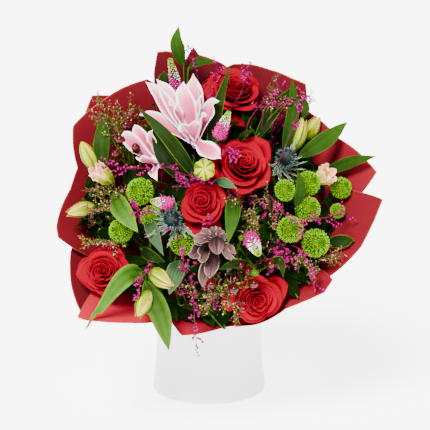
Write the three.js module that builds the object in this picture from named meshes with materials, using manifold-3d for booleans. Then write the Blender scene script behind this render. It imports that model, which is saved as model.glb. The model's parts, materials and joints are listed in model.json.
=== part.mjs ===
// Mixed flower bouquet in dark red paper, standing in a plain white vase.
// Millimetres, +Z up, origin at the centre of the vase's underside, front towards -Y.
//
// The flowers are placed in the bouquet's own frame [u, v, w]: it starts at the tie, w runs along the
// bouquet's axis towards the blooms, u to the right and v to the back edge of the dome.
import * as THREE from 'three';
import { mergeVertices } from 'three/addons/utils/BufferGeometryUtils.js';
import Module from 'manifold-3d';

const wasm = await Module();
wasm.setup();

// ---------------------------------------------------------------- driving dimensions
const VASE = { height: 136.2, footR: 65, waistR: 60, mouthR: 59, wall: 4, floor: 5, sides: 30 };
const WATER = { top: 92, gap: 0.3, boreR: 33, boreY: 17 };
const TIE_AT = new THREE.Vector3(0, -10, 155);
const LEAN = THREE.MathUtils.degToRad(42);
const TIE_BAND = { innerR: 32.6, outerR: 34.2, low: -15, high: -8 };
const PAPER = { thickness: 0.8, neckR: 29, neckW: -20, layer: 1.9, backRim: 192, frontRim: 100 };
const DOME = { height: 210, slope: 0.15, curve: 330 };
const GAP = 0.35;
const STEM_ROOM = 26;
const STEM_BOWS = [1.25, 1.0, 1.5, 0.8, 1.8];
const MIN_FACE_EDGE = 0.15;

const RED_ROSE = [0.80, 0.02, 0.06];
const LEAF_GREEN = [0.16, 0.36, 0.09];
const DARK_GREEN = [0.07, 0.20, 0.06];
const MUM_GREEN = [0.42, 0.68, 0.05];
const LILY_PINK = [0.93, 0.68, 0.74];
const ORCHID_MAUVE = [0.48, 0.33, 0.33];
const THISTLE_BLUE = [0.30, 0.42, 0.52];
const GREY_GREEN = [0.45, 0.55, 0.45];
const SPIKE_PINK = [0.86, 0.70, 0.72];
const BUD_CREAM = [0.80, 0.78, 0.42];
const BERRY_RED = [0.42, 0.05, 0.06];
const SPRAY_MAGENTA = [0.72, 0.12, 0.45];
const HEATHER_PINK = [0.75, 0.38, 0.52];
const PAPER_RED = [0.45, 0.04, 0.07];

// ---------------------------------------------------------------- the bouquet's frame
const AXIS_U = new THREE.Vector3(1, 0, 0);
const AXIS_V = new THREE.Vector3(0, Math.cos(LEAN), Math.sin(LEAN));
const AXIS_W = new THREE.Vector3(0, -Math.sin(LEAN), Math.cos(LEAN));

/** Direction [u, v, w] of the bouquet's frame as a vector of the part. */
const toward = ([u, v, w]) => new THREE.Vector3()
  .addScaledVector(AXIS_U, u).addScaledVector(AXIS_V, v).addScaledVector(AXIS_W, w);

/** Point [u, v, w] of the bouquet's frame in the part. */
const at = (uvw) => toward(uvw).add(TIE_AT);

/** The way a bloom faces at (u, v): square to the bouquet's dome. */
function faceWay(u, v) {
  return toward([2 * u / DOME.curve, 2 * v / DOME.curve - DOME.slope, 1]).normalize();
}

/** Seeded random numbers from 0 to 1. */
function seeded(seed) {
  let state = seed;
  return () => {
    state = (state + 0x6d2b79f5) | 0;
    let t = Math.imul(state ^ (state >>> 15), 1 | state);
    t = (t + Math.imul(t ^ (t >>> 7), 61 | t)) ^ t;
    return ((t ^ (t >>> 14)) >>> 0) / 4294967296;
  };
}

// ---------------------------------------------------------------- closed skins
/** A geometry from points and triangles, turned so that its faces point out. */
function skin(points, faces) {
  let volume = 0;
  for (const [a, b, c] of faces) {
    volume += points[a].dot(new THREE.Vector3().crossVectors(points[b], points[c]));
  }
  const outward = volume > 0 ? faces : faces.map(([a, b, c]) => [a, c, b]);
  const geometry = new THREE.BufferGeometry();
  geometry.setAttribute('position', new THREE.Float32BufferAttribute(
    points.flatMap((p) => [p.x, p.y, p.z]), 3));
  geometry.setIndex(outward.flat());
  return geometry;
}

/** Closed skin through rings of points. A ring of one point is a tip, and an open end gets a flat fan.
 *  With relief, alternate points stand out and each face's diagonal joins the low ones. */
function loft(rings, relief = false) {
  const points = rings.flat();
  const faces = [];
  const starts = [];
  rings.reduce((sum, ring) => { starts.push(sum); return sum + ring.length; }, 0);
  for (let i = 0; i + 1 < rings.length; i++) {
    const [a, b] = [rings[i], rings[i + 1]];
    const count = Math.max(a.length, b.length);
    for (let k = 0; k < count; k++) {
      const next = (k + 1) % count;
      const a0 = starts[i] + (a.length > 1 ? k : 0);
      const a1 = starts[i] + (a.length > 1 ? next : 0);
      const b0 = starts[i + 1] + (b.length > 1 ? k : 0);
      const b1 = starts[i + 1] + (b.length > 1 ? next : 0);
      if (a.length === 1) faces.push([a0, b1, b0]);
      else if (b.length === 1) faces.push([a0, a1, b0]);
      else if (relief && (i + k) % 2 === 0) faces.push([a0, a1, b0], [a1, b1, b0]);
      else faces.push([a0, a1, b1], [a0, b1, b0]);
    }
  }
  const last = rings.length - 1;
  for (let k = 1; k + 1 < rings[0].length; k++) faces.push([0, k + 1, k]);
  const top = starts[last];
  for (let k = 1; k + 1 < rings[last].length; k++) faces.push([top, top + k, top + k + 1]);
  return skin(points, faces);
}

/** A sheet of even thickness over a grid of points, both faces split into triangles alike. */
function sheet(grid, thickness) {
  const rows = grid.length;
  const cols = grid[0].length;
  const side = (i, j, half) => {
    const along = grid[Math.min(i + 1, rows - 1)][j].clone().sub(grid[Math.max(i - 1, 0)][j]);
    const across = grid[i][Math.min(j + 1, cols - 1)].clone().sub(grid[i][Math.max(j - 1, 0)]);
    return grid[i][j].clone().addScaledVector(along.cross(across).normalize(), half);
  };
  const points = [];
  for (const half of [thickness / 2, -thickness / 2]) {
    for (let i = 0; i < rows; i++) for (let j = 0; j < cols; j++) points.push(side(i, j, half));
  }
  const back = rows * cols;
  const faces = [];
  for (let i = 0; i + 1 < rows; i++) {
    for (let j = 0; j + 1 < cols; j++) {
      const [a, b, c, d] = [i * cols + j, i * cols + j + 1, (i + 1) * cols + j + 1, (i + 1) * cols + j];
      faces.push([a, b, c], [a, c, d], [a + back, c + back, b + back], [a + back, d + back, c + back]);
    }
  }
  const rim = [];
  for (let j = 0; j < cols; j++) rim.push(j);
  for (let i = 1; i < rows; i++) rim.push(i * cols + cols - 1);
  for (let j = cols - 2; j >= 0; j--) rim.push((rows - 1) * cols + j);
  for (let i = rows - 2; i > 0; i--) rim.push(i * cols);
  rim.forEach((a, k) => {
    const b = rim[(k + 1) % rim.length];
    faces.push([a, a + back, b], [b, a + back, b + back]);
  });
  return skin(points, faces);
}

/** Two directions square to a third. */
function crossAxes(way, hint = new THREE.Vector3(0.31, 0.17, 0.93)) {
  const x = new THREE.Vector3().crossVectors(hint, way).normalize();
  return [x, new THREE.Vector3().crossVectors(way, x)];
}

/** Points of a circle round a centre, square to a direction. */
function circle(centre, way, radius, count, turn = 0) {
  const [x, y] = crossAxes(way);
  return Array.from({ length: count }, (_, k) => {
    const a = turn + (2 * Math.PI * k) / count;
    return centre.clone().addScaledVector(x, radius * Math.cos(a)).addScaledVector(y, radius * Math.sin(a));
  });
}

/** A twig or stem along points, with a radius at each of them. */
function rod(points, radii, sides = 3) {
  const hint = crossAxes(new THREE.Vector3().subVectors(points.at(-1), points[0]).normalize())[0];
  return loft(points.map((p, i) => {
    const way = new THREE.Vector3().subVectors(points[Math.min(i + 1, points.length - 1)],
      points[Math.max(i - 1, 0)]).normalize();
    const y = new THREE.Vector3().crossVectors(way, hint).normalize();
    const x = new THREE.Vector3().crossVectors(y, way);
    return Array.from({ length: sides }, (_, k) => p.clone()
      .addScaledVector(x, radii[i] * Math.cos((2 * Math.PI * k) / sides))
      .addScaledVector(y, radii[i] * Math.sin((2 * Math.PI * k) / sides)));
  }));
}

/** A leaf or petal along a curve through three points: a folded blade, pointed at both ends. */
function blade([root, middle, tip],
  width, facing, { steps = 4, fold = 0.16, thick = 1.1, wide = 0.45 } = {}) {
  const curve = new THREE.CatmullRomCurve3([root, middle, tip]);
  const rings = [[root.clone()]];
  for (let i = 1; i < steps; i++) {
    const t = i / steps;
    const way = curve.getTangent(t);
    const x = new THREE.Vector3().crossVectors(way, facing).normalize();
    const up = new THREE.Vector3().crossVectors(x, way);
    const swell = Math.sin(Math.PI * Math.pow(t, Math.log(0.5) / Math.log(wide)));
    const half = 0.5 * width * Math.pow(swell, 0.75);
    const p = curve.getPoint(t);
    rings.push([
      p.clone().addScaledVector(x, half).addScaledVector(up, fold * half),
      p.clone().addScaledVector(up, thick / 2 - fold * half),
      p.clone().addScaledVector(x, -half).addScaledVector(up, fold * half),
      p.clone().addScaledVector(up, -thick / 2 - fold * half),
    ]);
  }
  rings.push([tip.clone()]);
  return loft(rings);
}

/** A bud, berry or floret: a spindle from root to tip with a radius at each inner station. */
function spindle(root, tip, radii, sides) {
  const way = new THREE.Vector3().subVectors(tip, root);
  const rings = radii.map((r, i) => circle(root.clone().addScaledVector(way, (i + 1) / (radii.length + 1)),
    way.clone().normalize(), r, sides, 0.3 * i));
  return loft([[root.clone()], ...rings, [tip.clone()]]);
}

/** A dense round head whose florets stand out in relief. */
function floretHead(centre, way, radius, height, { cols = 8, rows = 5, relief = 0.16 } = {}) {
  const rings = [];
  for (let i = 0; i < rows; i++) {
    const polar = Math.PI * (0.12 + 0.80 * (1 - i / (rows - 1)));
    const c = centre.clone().addScaledVector(way, height * Math.cos(polar));
    const ring = circle(c, way, radius * Math.sin(polar), cols);
    rings.push(ring.map((p, k) => p.addScaledVector(new THREE.Vector3().subVectors(p, centre),
      (i + k) % 2 === 0 ? relief : -relief * 0.4)));
  }
  return loft([[centre.clone().addScaledVector(way, -height)], ...rings,
    [centre.clone().addScaledVector(way, height * 0.9)]], true);
}

// ---------------------------------------------------------------- solids, clearances and nodes
/** A closed geometry as a solid that can be joined. */
function solidOf(geometry) {
  const plain = geometry.clone();
  plain.deleteAttribute('normal');
  plain.deleteAttribute('uv');
  const merged = mergeVertices(plain, 1e-4);
  return new wasm.Manifold(new wasm.Mesh({
    numProp: 3,
    vertProperties: new Float32Array(merged.attributes.position.array),
    triVerts: new Uint32Array(merged.index.array),
  }));
}

/** The geometry of a solid. */
function geometryOf(solid) {
  const mesh = solid.getMesh();
  const geometry = new THREE.BufferGeometry();
  geometry.setAttribute('position', new THREE.Float32BufferAttribute(mesh.vertProperties, 3));
  geometry.setIndex(Array.from(mesh.triVerts));
  return geometry;
}

const pieces = new Map();
const colours = new Map();

/** Box test before the exact distance. */
function boxesNear(a, b, gap) {
  return [0, 1, 2].every((i) => a.min[i] - gap < b.max[i] && b.min[i] - gap < a.max[i]);
}

/** True where a solid keeps the clearance to all the pieces of every other node. */
function isClear(solid, node, gap = GAP) {
  const box = solid.boundingBox();
  for (const [name, list] of pieces) {
    if (name === node) continue;
    for (const other of list) {
      if (boxesNear(box, other.box, gap) && solid.minGap(other.solid, gap + 0.1) < gap) return false;
    }
  }
  return true;
}

/** Adds a geometry to a node. */
function put(node, geometry, colour) {
  const solid = solidOf(geometry);
  if (!pieces.has(node)) pieces.set(node, []);
  if (colour) colours.set(node, colour);
  pieces.get(node).push({ solid, box: solid.boundingBox() });
}

/** Adds the first of some shapes that is clear of the other nodes; says whether one was. */
function putWhereClear(node, shapes, colour) {
  for (const make of shapes) {
    const geometry = make();
    if (isClear(solidOf(geometry), node)) {
      put(node, geometry, colour);
      return true;
    }
  }
  return false;
}

/** Small moves to try, in order, for a piece that would touch its neighbours. */
const NUDGES = [[0, 0, 0], [0, 0, 5], [0, 0, -5], [5, 0, 2], [-5, 0, 2], [0, 5, 2], [0, -5, 2], [0, 0, 10],
  [8, 0, 5], [-8, 0, 5], [0, 8, 5], [0, -8, 5], [0, 0, -10], [0, 0, 15], [10, 10, 8], [-10, -10, 8],
  [10, -10, 8], [-10, 10, 8]];
const SPRAY_MOVES = [NUDGES[0], NUDGES[2], NUDGES[1], NUDGES[7], NUDGES[13]].flatMap(
  (ends) => NUDGES.map((middles) => [ends, middles]));
const nudged = (uvw, move, share = 1) => uvw.map((c, i) => c + share * move[i]);

/** Joins a node's pieces into one body; a scrap that joined to nothing is dropped. */
function fuse(node) {
  const whole = wasm.Manifold.union(pieces.get(node).map((piece) => piece.solid));
  const bodies = whole.decompose().sort((a, b) => b.volume() - a.volume());
  return bodies[0].simplify(MIN_FACE_EDGE);
}

// ---------------------------------------------------------------- vase, water, tie and paper
function buildVase() {
  const { height, footR, waistR, mouthR, wall, floor, sides } = VASE;
  const outline = [[0, 0], [footR - 1.5, 0], [footR, 1.5], [waistR, 48], [mouthR, height - 1.5],
    [mouthR - wall / 2, height], [mouthR - wall, height - 1.5], [waistR - wall, 48],
    [footR - wall - 4, floor], [0, floor]];
  put('vase', new THREE.LatheGeometry(outline.map(([r, z]) => new THREE.Vector2(r, z)), sides)
    .rotateX(Math.PI / 2), [0.93, 0.93, 0.94]);
}

/** Closed ring-shaped skin through circles of points, the last one joined to the first. */
function hoop(rings) {
  const sides = rings[0].length;
  const faces = [];
  rings.forEach((_, i) => {
    const [a, b] = [i * sides, ((i + 1) % rings.length) * sides];
    for (let k = 0; k < sides; k++) {
      const next = (k + 1) % sides;
      faces.push([a + k, a + next, b + next], [a + k, b + next, b + k]);
    }
  });
  return skin(rings.flat(), faces);
}

/** The water, with one plain hole round the leaning bundle of stems. */
function buildWater() {
  const { top, gap, boreR, boreY } = WATER;
  const { footR, waistR, mouthR, wall, floor, height } = VASE;
  const low = floor + gap;
  const up = new THREE.Vector3(0, 0, 1);
  const level = (y, z, r) => circle(new THREE.Vector3(0, y, z), up, r, 20);
  const inner = (z) => (z < 48 ? THREE.MathUtils.mapLinear(z, floor, 48, footR - wall - 4, waistR - wall)
    : THREE.MathUtils.mapLinear(z, 48, height, waistR - wall, mouthR - wall));
  const outer = [low, 48, top].map((z) => level(0, z, inner(z) - 1));
  const bore = [level(boreY - 1, top, boreR), level(boreY, 48, boreR), level(boreY + 3, low, boreR)];
  put('water', hoop([...outer, ...bore]), [0.80, 0.88, 0.90]);
}

function buildTie() {
  const { innerR, outerR, low, high } = TIE_BAND;
  const ring = (r, w) => circle(at([0, 0, w]), AXIS_W, r, 20);
  put('tie', hoop([ring(outerR, low), ring(outerR, high), ring(innerR, high), ring(innerR, low)]),
    [0.55, 0.44, 0.30]);
}

/** How far along its flare the paper is at radius r: 0 at the neck, 1 at a radius of 158. */
function flare(r) {
  return (-82 + Math.sqrt(6724 + 188 * (r - PAPER.neckR))) / 94;
}

/** Point of the paper cone at angle (degrees) and radius, lifted outward by the sheet's layer. */
function paperPoint(angle, r, out) {
  const a = THREE.MathUtils.degToRad(angle);
  const middle = (PAPER.backRim + PAPER.frontRim) / 2;
  const rim = middle + ((PAPER.backRim - PAPER.frontRim) / 2) * Math.sin(a);
  const w = rim * flare(r);
  const rise = Math.atan2(rim * 0.9, 100);
  const lifted = r + Math.sin(rise) * out;
  return at([lifted * Math.cos(a), lifted * Math.sin(a), w - Math.cos(rise) * out]);
}

// Each sheet of paper: its rim from right to left as seen from its neck, as [angle in degrees, radius],
// and the layer (0 inside, 1 next, 2 outside) of its first and last edge.
const PAPER_SHEETS = [
  { rim: [[-112, 96], [-108, 136], [-100, 161], [-81, 145], [-70, 149], [-57, 150], [-44, 170], [-38, 167],
    [-30, 120]], layers: [0, 0] },
  { rim: [[-48, 120], [-36, 158], [-24, 176], [-15, 183], [-8, 186], [-2, 160], [5, 134],
    [12, 112]], layers: [1, 0] },
  { rim: [[-12, 120], [-8, 140], [-3, 158], [3, 176], [8, 169], [22, 151], [35, 145], [42, 142],
    [49, 131], [56, 120]],
    layers: [1, 0] },
  { rim: [[36, 122], [42, 145], [47, 156], [54, 152], [63, 149], [71, 148], [79, 145], [94, 128]],
    layers: [1, 0] },
  { rim: [[72, 132], [84, 143], [94, 149], [96, 155], [103, 140], [106, 124]], layers: [1, 1] },
  { rim: [[97, 130], [104, 155], [107, 158], [111, 160], [117, 143], [126, 112]], layers: [0, 0] },
  { rim: [[110, 126], [118, 143], [138, 150], [155, 158], [169, 144], [180, 151], [197, 170], [201, 172],
    [206, 158], [216, 120]], layers: [1, 0] },
  { rim: [[192, 132], [205, 158], [217, 175], [227, 187], [236, 160], [246, 120]], layers: [2, 2] },
  { rim: [[217, 130], [227, 190], [229, 203], [231, 199], [241, 165], [246, 152], [253, 132], [262, 104]],
    layers: [0.3, 1] },
  { rim: [[126, 120], [134, 146], [141, 158], [148, 153], [156, 122]], layers: [2, 2] },
];

function buildPaper() {
  const rows = [0.13, 0.48, 1];
  PAPER_SHEETS.forEach(({ rim, layers }, index) => {
    const [first, last] = [rim[0][0], rim.at(-1)[0]];
    const grid = [-1, 0, ...rows].map((share) => rim.map(([angle, r]) => {
      const across = THREE.MathUtils.smoothstep((angle - first) / (last - first), 0.35, 0.62);
      const layer = THREE.MathUtils.lerp(layers[0], layers[1], across) - 0.5;
      if (share <= 0) {
        const a = THREE.MathUtils.degToRad(angle);
        const neck = PAPER.neckR + 1.8 * layer;
        return at([neck * Math.cos(a), neck * Math.sin(a), share < 0 ? PAPER.neckW : 0]);
      }
      const radius = PAPER.neckR + (r - PAPER.neckR) * share;
      return paperPoint(angle, radius, 2 * PAPER.layer * layer * (0.55 + 0.45 * share));
    }));
    put(`wrap_${index + 1}`, sheet(grid, PAPER.thickness), PAPER_RED);
  });
}

// ---------------------------------------------------------------- stems
const slots = [];

/** Free places for a stem in the tie, the nearest to its drawn-in place first. */
function freeSlots([u, v], radius) {
  const found = [];
  for (let ring = 0; ring < 16; ring++) {
    const spokes = Math.max(1, ring * 5);
    for (let k = 0; k < spokes; k++) {
      const a = (2 * Math.PI * k) / spokes;
      const spot = { x: 0.14 * u + ring * 1.3 * Math.cos(a), y: 0.14 * v + ring * 1.3 * Math.sin(a), radius };
      const inside = Math.hypot(spot.x, spot.y) + radius < STEM_ROOM;
      const isFree = (s) => Math.hypot(s.x - spot.x, s.y - spot.y) > s.radius + radius + 0.5;
      if (inside && slots.every(isFree)) found.push(spot);
    }
  }
  return found;
}

/** Stations of a stem from the vase's floor through the tie to [u, v, w]. */
function stemLine([u, v, w], slot, bow) {
  const tie = at([slot.x, slot.y, 0]);
  const low = new THREE.Vector3(1.06 * slot.x, 20 + 1.06 * slot.y, VASE.floor + GAP + 0.4);
  const bend = tie.clone().addScaledVector(AXIS_W, -45);
  const below = new THREE.QuadraticBezierCurve3(low, bend, tie);
  const above = [0.32, 0.64, 1].map((t) => {
    const out = Math.pow(t, bow);
    return at([slot.x + (u - slot.x) * out, slot.y + (v - slot.y) * out, w * t]);
  });
  return [low, below.getPoint(0.5), tie, ...above];
}

/** Puts a stem that ends at a place, or with loose near it, and gives back its stations. */
function putStem(node, end, radius, colour, { sides = 3, loose = false } = {}) {
  for (const move of loose ? NUDGES : [NUDGES[0]]) {
    for (const slot of freeSlots(end, radius).slice(0, 60)) {
      for (const bow of STEM_BOWS) {
        const line = stemLine(nudged(end, move), slot, bow);
        const shape = rod(line, line.map((_, i) => radius * (i < 3 ? 1 : 1 - 0.08 * (i - 2))), sides);
        if (isClear(solidOf(shape), node, 0.3)) {
          put(node, shape, colour);
          slots.push(slot);
          return line;
        }
      }
    }
  }
  throw new Error(`no clear way for the stem of ${node}`);
}

/** Sideways bends to try for a stalk, as shares of its length along w, u and v. */
const STALK_BENDS = [[0, 0, 0], [-0.12, 0, 0], [0.15, 0, 0], [-0.25, 0, 0], [0.3, 0, 0], [0, 0.2, 0],
  [0, -0.2, 0],
  [0, 0, 0.2], [0, 0, -0.2], [0.45, 0, 0.1], [0.3, 0.3, 0], [0.3, -0.3, 0], [0.3, 0, 0.3]];

/** The first clear stalk from a stem's top to the foot of a head that faces the given way, or null. */
function clearStalk(node, from, foot, way, radius) {
  const inside = foot.clone().addScaledVector(way, 1.6 * radius + 1);
  for (const [lift, sideways, back] of STALK_BENDS) {
    const length = from.distanceTo(foot);
    const bend = from.clone().lerp(foot, 0.6).add(toward([sideways * length, back * length, lift * length]));
    const line = lift || sideways || back ? [from, bend, inside] : [from, inside];
    const stalk = rod(line, line.map((_, i) => radius * (1 - 0.06 * i)));
    if (isClear(solidOf(stalk), node)) return stalk;
  }
  return null;
}

// ---------------------------------------------------------------- roses
const ROSES = [
  { centre: [31, 100, 196], radius: 30, turn: 0.4, tilt: -0.35 },
  { centre: [43, -11, 206], radius: 33, turn: 1.1, tilt: 0 },
  { centre: [-4, -50, 195], radius: 24, turn: 2.0, tilt: 0 },
  { centre: [-108, -107, 148], radius: 27, turn: 0.2, tilt: 0 },
  { centre: [52, -130, 131], radius: 30, turn: 2.8, tilt: 0.45 },
];
const [NARROW, BROAD] = [[-1, 0, 1], [-1, -0.4, 0.4, 1]];
const ROSE_LAYERS = [
  { count: 2, root: 0.06, belly: 0.19, lip: 0.15, height: 1.10, span: 172, rows: [0, 0.5, 1], cols: BROAD },
  { count: 3, root: 0.10, belly: 0.34, lip: 0.34, height: 1.06, span: 114, rows: [0, 0.5, 1], cols: NARROW },
  { count: 3, root: 0.14, belly: 0.52, lip: 0.62, height: 0.98, span: 114, rows: [0, 0.5, 1], cols: NARROW },
  { count: 4, root: 0.18, belly: 0.70, lip: 0.98, height: 0.80, span: 86, rows: [0, 0.5, 1], cols: BROAD },
];
const ROSE_DEPTH = 1.0;

/** The way a rose faces: square to the dome, nodding to the front or leaning to the back. */
function roseWay({ centre: [u, v], tilt }) {
  return faceWay(u, v).addScaledVector(AXIS_V, tilt).normalize();
}

function buildRoseBloom(node, rose) {
  const { centre, radius, turn } = rose;
  const way = roseWay(rose);
  const base = at(centre).addScaledVector(way, -ROSE_DEPTH * radius);
  const [x, y] = crossAxes(way);
  const place = (r, a, z) => base.clone().addScaledVector(x, radius * r * Math.cos(a))
    .addScaledVector(y, radius * r * Math.sin(a)).addScaledVector(way, radius * z);
  const ring = (r, z) => Array.from({ length: 6 }, (_, k) => place(r, (Math.PI * k) / 3, z));
  put(node, loft([ring(0.14, 0), ring(0.35, 0.12)]), RED_ROSE);
  ROSE_LAYERS.forEach((layer, level) => {
    for (let k = 0; k < layer.count; k++) {
      const middle = turn + level * 0.9 + (2 * Math.PI * k) / layer.count;
      const grid = layer.rows.map((s) => layer.cols.map((c) => {
        const half = s === 0 ? 140 / layer.count : layer.span / 2;
        const a = middle + c * THREE.MathUtils.degToRad(half);
        const belly = Math.min(1, s / layer.rows[1]);
        const lipShare = Math.max(0, (s - layer.rows[1]) / (1 - layer.rows[1]));
        const r = THREE.MathUtils.lerp(layer.root, layer.belly, Math.pow(belly, 0.7))
          + (layer.lip - layer.belly) * lipShare + 0.035 * c;
        return place(r, a, 0.07 + (layer.height - 0.07) * (s - 0.10 * s * c * c));
      }));
      put(node, sheet(grid, 0.7), RED_ROSE);
    }
  });
}

function buildRoseStem(node, rose) {
  const { centre, radius, turn } = rose;
  const way = roseWay(rose);
  const top = at(centre).addScaledVector(way, -ROSE_DEPTH * radius - GAP);
  const neck = top.clone().addScaledVector(way, -9);
  const neckUvw = uvwOf(neck);
  const line = putStem(node, neckUvw, 2.3, LEAF_GREEN, { sides: 4 });
  put(node, loft([circle(neck.clone().addScaledVector(way, -2), way, 1.8, 6), circle(neck, way, 3.2, 6),
    circle(top.clone().addScaledVector(way, -2), way, 4.2, 6), circle(top, way, 3, 6)]));
  const [x, y] = crossAxes(way);
  for (let k = 0; k < 5; k++) {
    const a = turn + (2 * Math.PI * k) / 5;
    const out = x.clone().multiplyScalar(Math.cos(a)).addScaledVector(y, Math.sin(a));
    const root = neck.clone().addScaledVector(way, 5).addScaledVector(out, 2.6);
    putWhereClear(node, [0.25, -0.3, -0.8].map((rise) => () => blade([root,
      root.clone().addScaledVector(out, 8).addScaledVector(way, -2 + 8 * rise),
      root.clone().addScaledVector(out, 19).addScaledVector(way, -6 + 16 * rise)], 6, way, { steps: 2 })));
  }
  return line;
}

/** The bouquet's frame coordinates of a point of the part. */
function uvwOf(point) {
  const d = point.clone().sub(TIE_AT);
  return [d.dot(AXIS_U), d.dot(AXIS_V), d.dot(AXIS_W)];
}

// ---------------------------------------------------------------- lilies and orchid
const LILIES = [
  { base: [-16, 14, 196], petals: [[[-64, 82, 225], 23, 12], [[-53, 92, 212], 18, 4], [[-28, 73, 237], 18, 2],
    [[-14, 102, 210], 22, -4], [[-8, 50, 237], 10, 2], [[13, 41, 230], 17, 10], [[17, -12, 214], 21, 8],
    [[-70, 50, 209], 17, 6]] },
  { base: [-54, 8, 180], petals: [[[-90, 33, 196], 17, 8], [[-78, 47, 193], 15, 4], [[-71, -4, 203], 14, 6],
    [[-53, -26, 199], 13, 6], [[-60, 30, 206], 14, 4]] },
];
const ORCHID = { base: [6, -78, 160], petals: [[[-5, -121, 150], 19, 8], [[1, -114, 166], 15, 6],
  [[-18, -99, 171], 13, 6], [[-9, -104, 181], 12, 4], [[-13, -78, 181], 15, 5], [[14, -70, 184], 17, 5],
  [[26, -104, 171], 12, 5]], lip: [[7, -79, 164], [12, -93, 191]] };

const PETAL_SHAPE = { steps: 4, fold: 0.3, thick: 1.2, wide: 0.6 };

/** A star of petals from one throat, each a folded blade that bows outward on its way to its tip. */
function buildStar(node, base, petals, colour, stamens) {
  const root = at(base);
  const mean = petals.reduce((sum, [tip]) => sum.add(at(tip)), new THREE.Vector3())
    .multiplyScalar(1 / petals.length);
  const way = new THREE.Vector3().subVectors(mean, root).normalize();
  put(node, loft([circle(root.clone().addScaledVector(way, -7), way, 2.2, 6),
    circle(root, way, 4.5, 6), [root.clone().addScaledVector(way, 9)]]), colour);
  petals.forEach(([tip, width, bow]) => {
    const end = at(tip);
    const out = new THREE.Vector3().subVectors(end, root);
    const side = out.clone().addScaledVector(way, -out.dot(way)).normalize();
    const start = root.clone().addScaledVector(side, 1.5);
    const middle = start.clone().lerp(end, 0.45).addScaledVector(side, bow * 0.5)
      .addScaledVector(way, bow * 0.5);
    const facing = way.clone().addScaledVector(side, -0.6);
    putWhereClear(node, NUDGES.map((move) => () => {
      const bend = middle.clone().add(toward(move).multiplyScalar(0.6));
      return blade([start, bend, at(nudged(tip, move))], width, facing, PETAL_SHAPE);
    }));
  });
  for (let k = 0; k < stamens; k++) {
    const a = (2 * Math.PI * k) / stamens;
    const [x, y] = crossAxes(way);
    const end = root.clone().addScaledVector(way, 40).addScaledVector(x, 9 * Math.cos(a))
      .addScaledVector(y, 9 * Math.sin(a));
    putWhereClear(node, [() => rod([root, end], [0.8, 0.6], 3)]);
  }
  return { root, way };
}

// ---------------------------------------------------------------- tables of the smaller flowers
const MUM_SPRAYS = {
  mum_spray_left: { join: [-62, -50, 105],
    heads: [[-71, -31, 184, 14], [-91, -62, 157, 12.5], [-60, -52, 169, 11], [-27, -81, 163, 13]] },
  mum_spray_right: { join: [92, -38, 95],
    heads: [[80, -29, 183, 11], [105, -13, 173, 12.5], [141, -1, 146, 11.5], [104, -41, 166, 13],
      [85, -66, 166, 13.5], [112, -71, 147, 14.5], [137, -27, 141, 8]] },
};
const THISTLES = [
  { centre: [-37, -66, 185], radius: 8.5, bracts: 11 },
  { centre: [80, 6, 192], radius: 9, bracts: 11 },
];
const VERONICAS = [
  { base: [-33, 105, 160], tip: [-41, 124, 206], radius: 6.2 },
  { base: [9, 29, 211], tip: [27, 38, 240], radius: 5.4 },
  { base: [-39, -44, 189], tip: [-62, -53, 206], radius: 5 },
  { base: [43, -81, 175], tip: [51, -108, 186], radius: 6.4 },
];
// Buds as [root, tip, radius]; leaves as [root, middle, tip, width].
const ALSTROEMERIAS = {
  alstroemeria_left: { join: [-102, -4, 122],
    buds: [[[-114, 20, 158], [-127, 40, 180], 8], [[-99, -9, 166], [-121, -2, 186], 9.5],
      [[-120, -26, 150], [-147, -44, 162], 7.5]],
    leaves: [[[-100, -24, 170], [-88, -58, 188], [-72, -79, 180], 21],
      [[-112, 6, 160], [-119, 36, 176], [-114, 74, 174], 17]] },
  alstroemeria_front: { join: [-64, -104, 108],
    buds: [[[-60, -106, 150], [-38, -130, 159], 9], [[-61, -124, 140], [-72, -152, 135], 8]],
    leaves: [[[-67, -102, 140], [-88, -118, 152], [-127, -161, 122], 17],
      [[-66, -112, 138], [-49, -150, 133], [-40, -184, 120], 18],
      [[-62, -80, 158], [-54, -90, 172], [-46, -101, 168], 12]] },
  alstroemeria_centre: { join: [-6, -12, 165], buds: [[[-4, -20, 207], [-4, -34, 231], 11]],
    leaves: [[[-3, -14, 190], [14, -30, 204], [32, -42, 206], 11]] },
  alstroemeria_right: { join: [98, 32, 126],
    buds: [[[87, 32, 166], [101, 60, 186], 10], [[104, 60, 150], [119, 78, 165], 8],
      [[113, 0, 156], [130, 2, 173], 9.5]],
    leaves: [[[95, 20, 172], [124, 40, 176], [150, 70, 168], 18],
      [[118, 20, 140], [150, 22, 160], [177, 18, 178], 13]] },
};
const FOLIAGE = {
  foliage_top: { join: [-26, 96, 148], leaves: [[[-27, 126, 192], [-34, 138, 214], [-32, 150, 232], 15],
    [[-22, 124, 190], [-9, 130, 196], [7, 131, 192], 11],
      [[-36, 100, 172], [-47, 112, 184], [-48, 122, 190], 15]] },
  foliage_right_top: { join: [76, 58, 138], leaves: [[[50, 34, 186], [72, 66, 200], [96, 112, 180], 13],
    [[80, 24, 176], [90, 64, 198], [90, 108, 194], 13], [[96, 88, 180], [103, 80, 180], [102, 72, 168], 12],
    [[30, 24, 192], [38, 26, 206], [48, 34, 204], 6]] },
  foliage_centre: { join: [24, -52, 140], leaves: [[[26, -44, 178], [23, -76, 196], [20, -97, 188], 17],
    [[46, -98, 146], [28, -108, 166], [9, -112, 160], 9],
      [[62, -96, 148], [74, -99, 156], [78, -110, 142], 9]] },
  foliage_right_low: { join: [98, -62, 112], leaves: [[[122, -60, 128], [142, -62, 136], [158, -66, 134], 14],
    [[92, -50, 170], [94, -34, 190], [88, -12, 194], 9]] },
  foliage_left_low: { join: [-40, -96, 118], leaves: [[[-29, -98, 156], [-34, -118, 162],
    [-40, -133, 146], 19],
    [[-70, -80, 150], [-60, -99, 168], [-44, -106, 166], 12]] },
};
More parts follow.
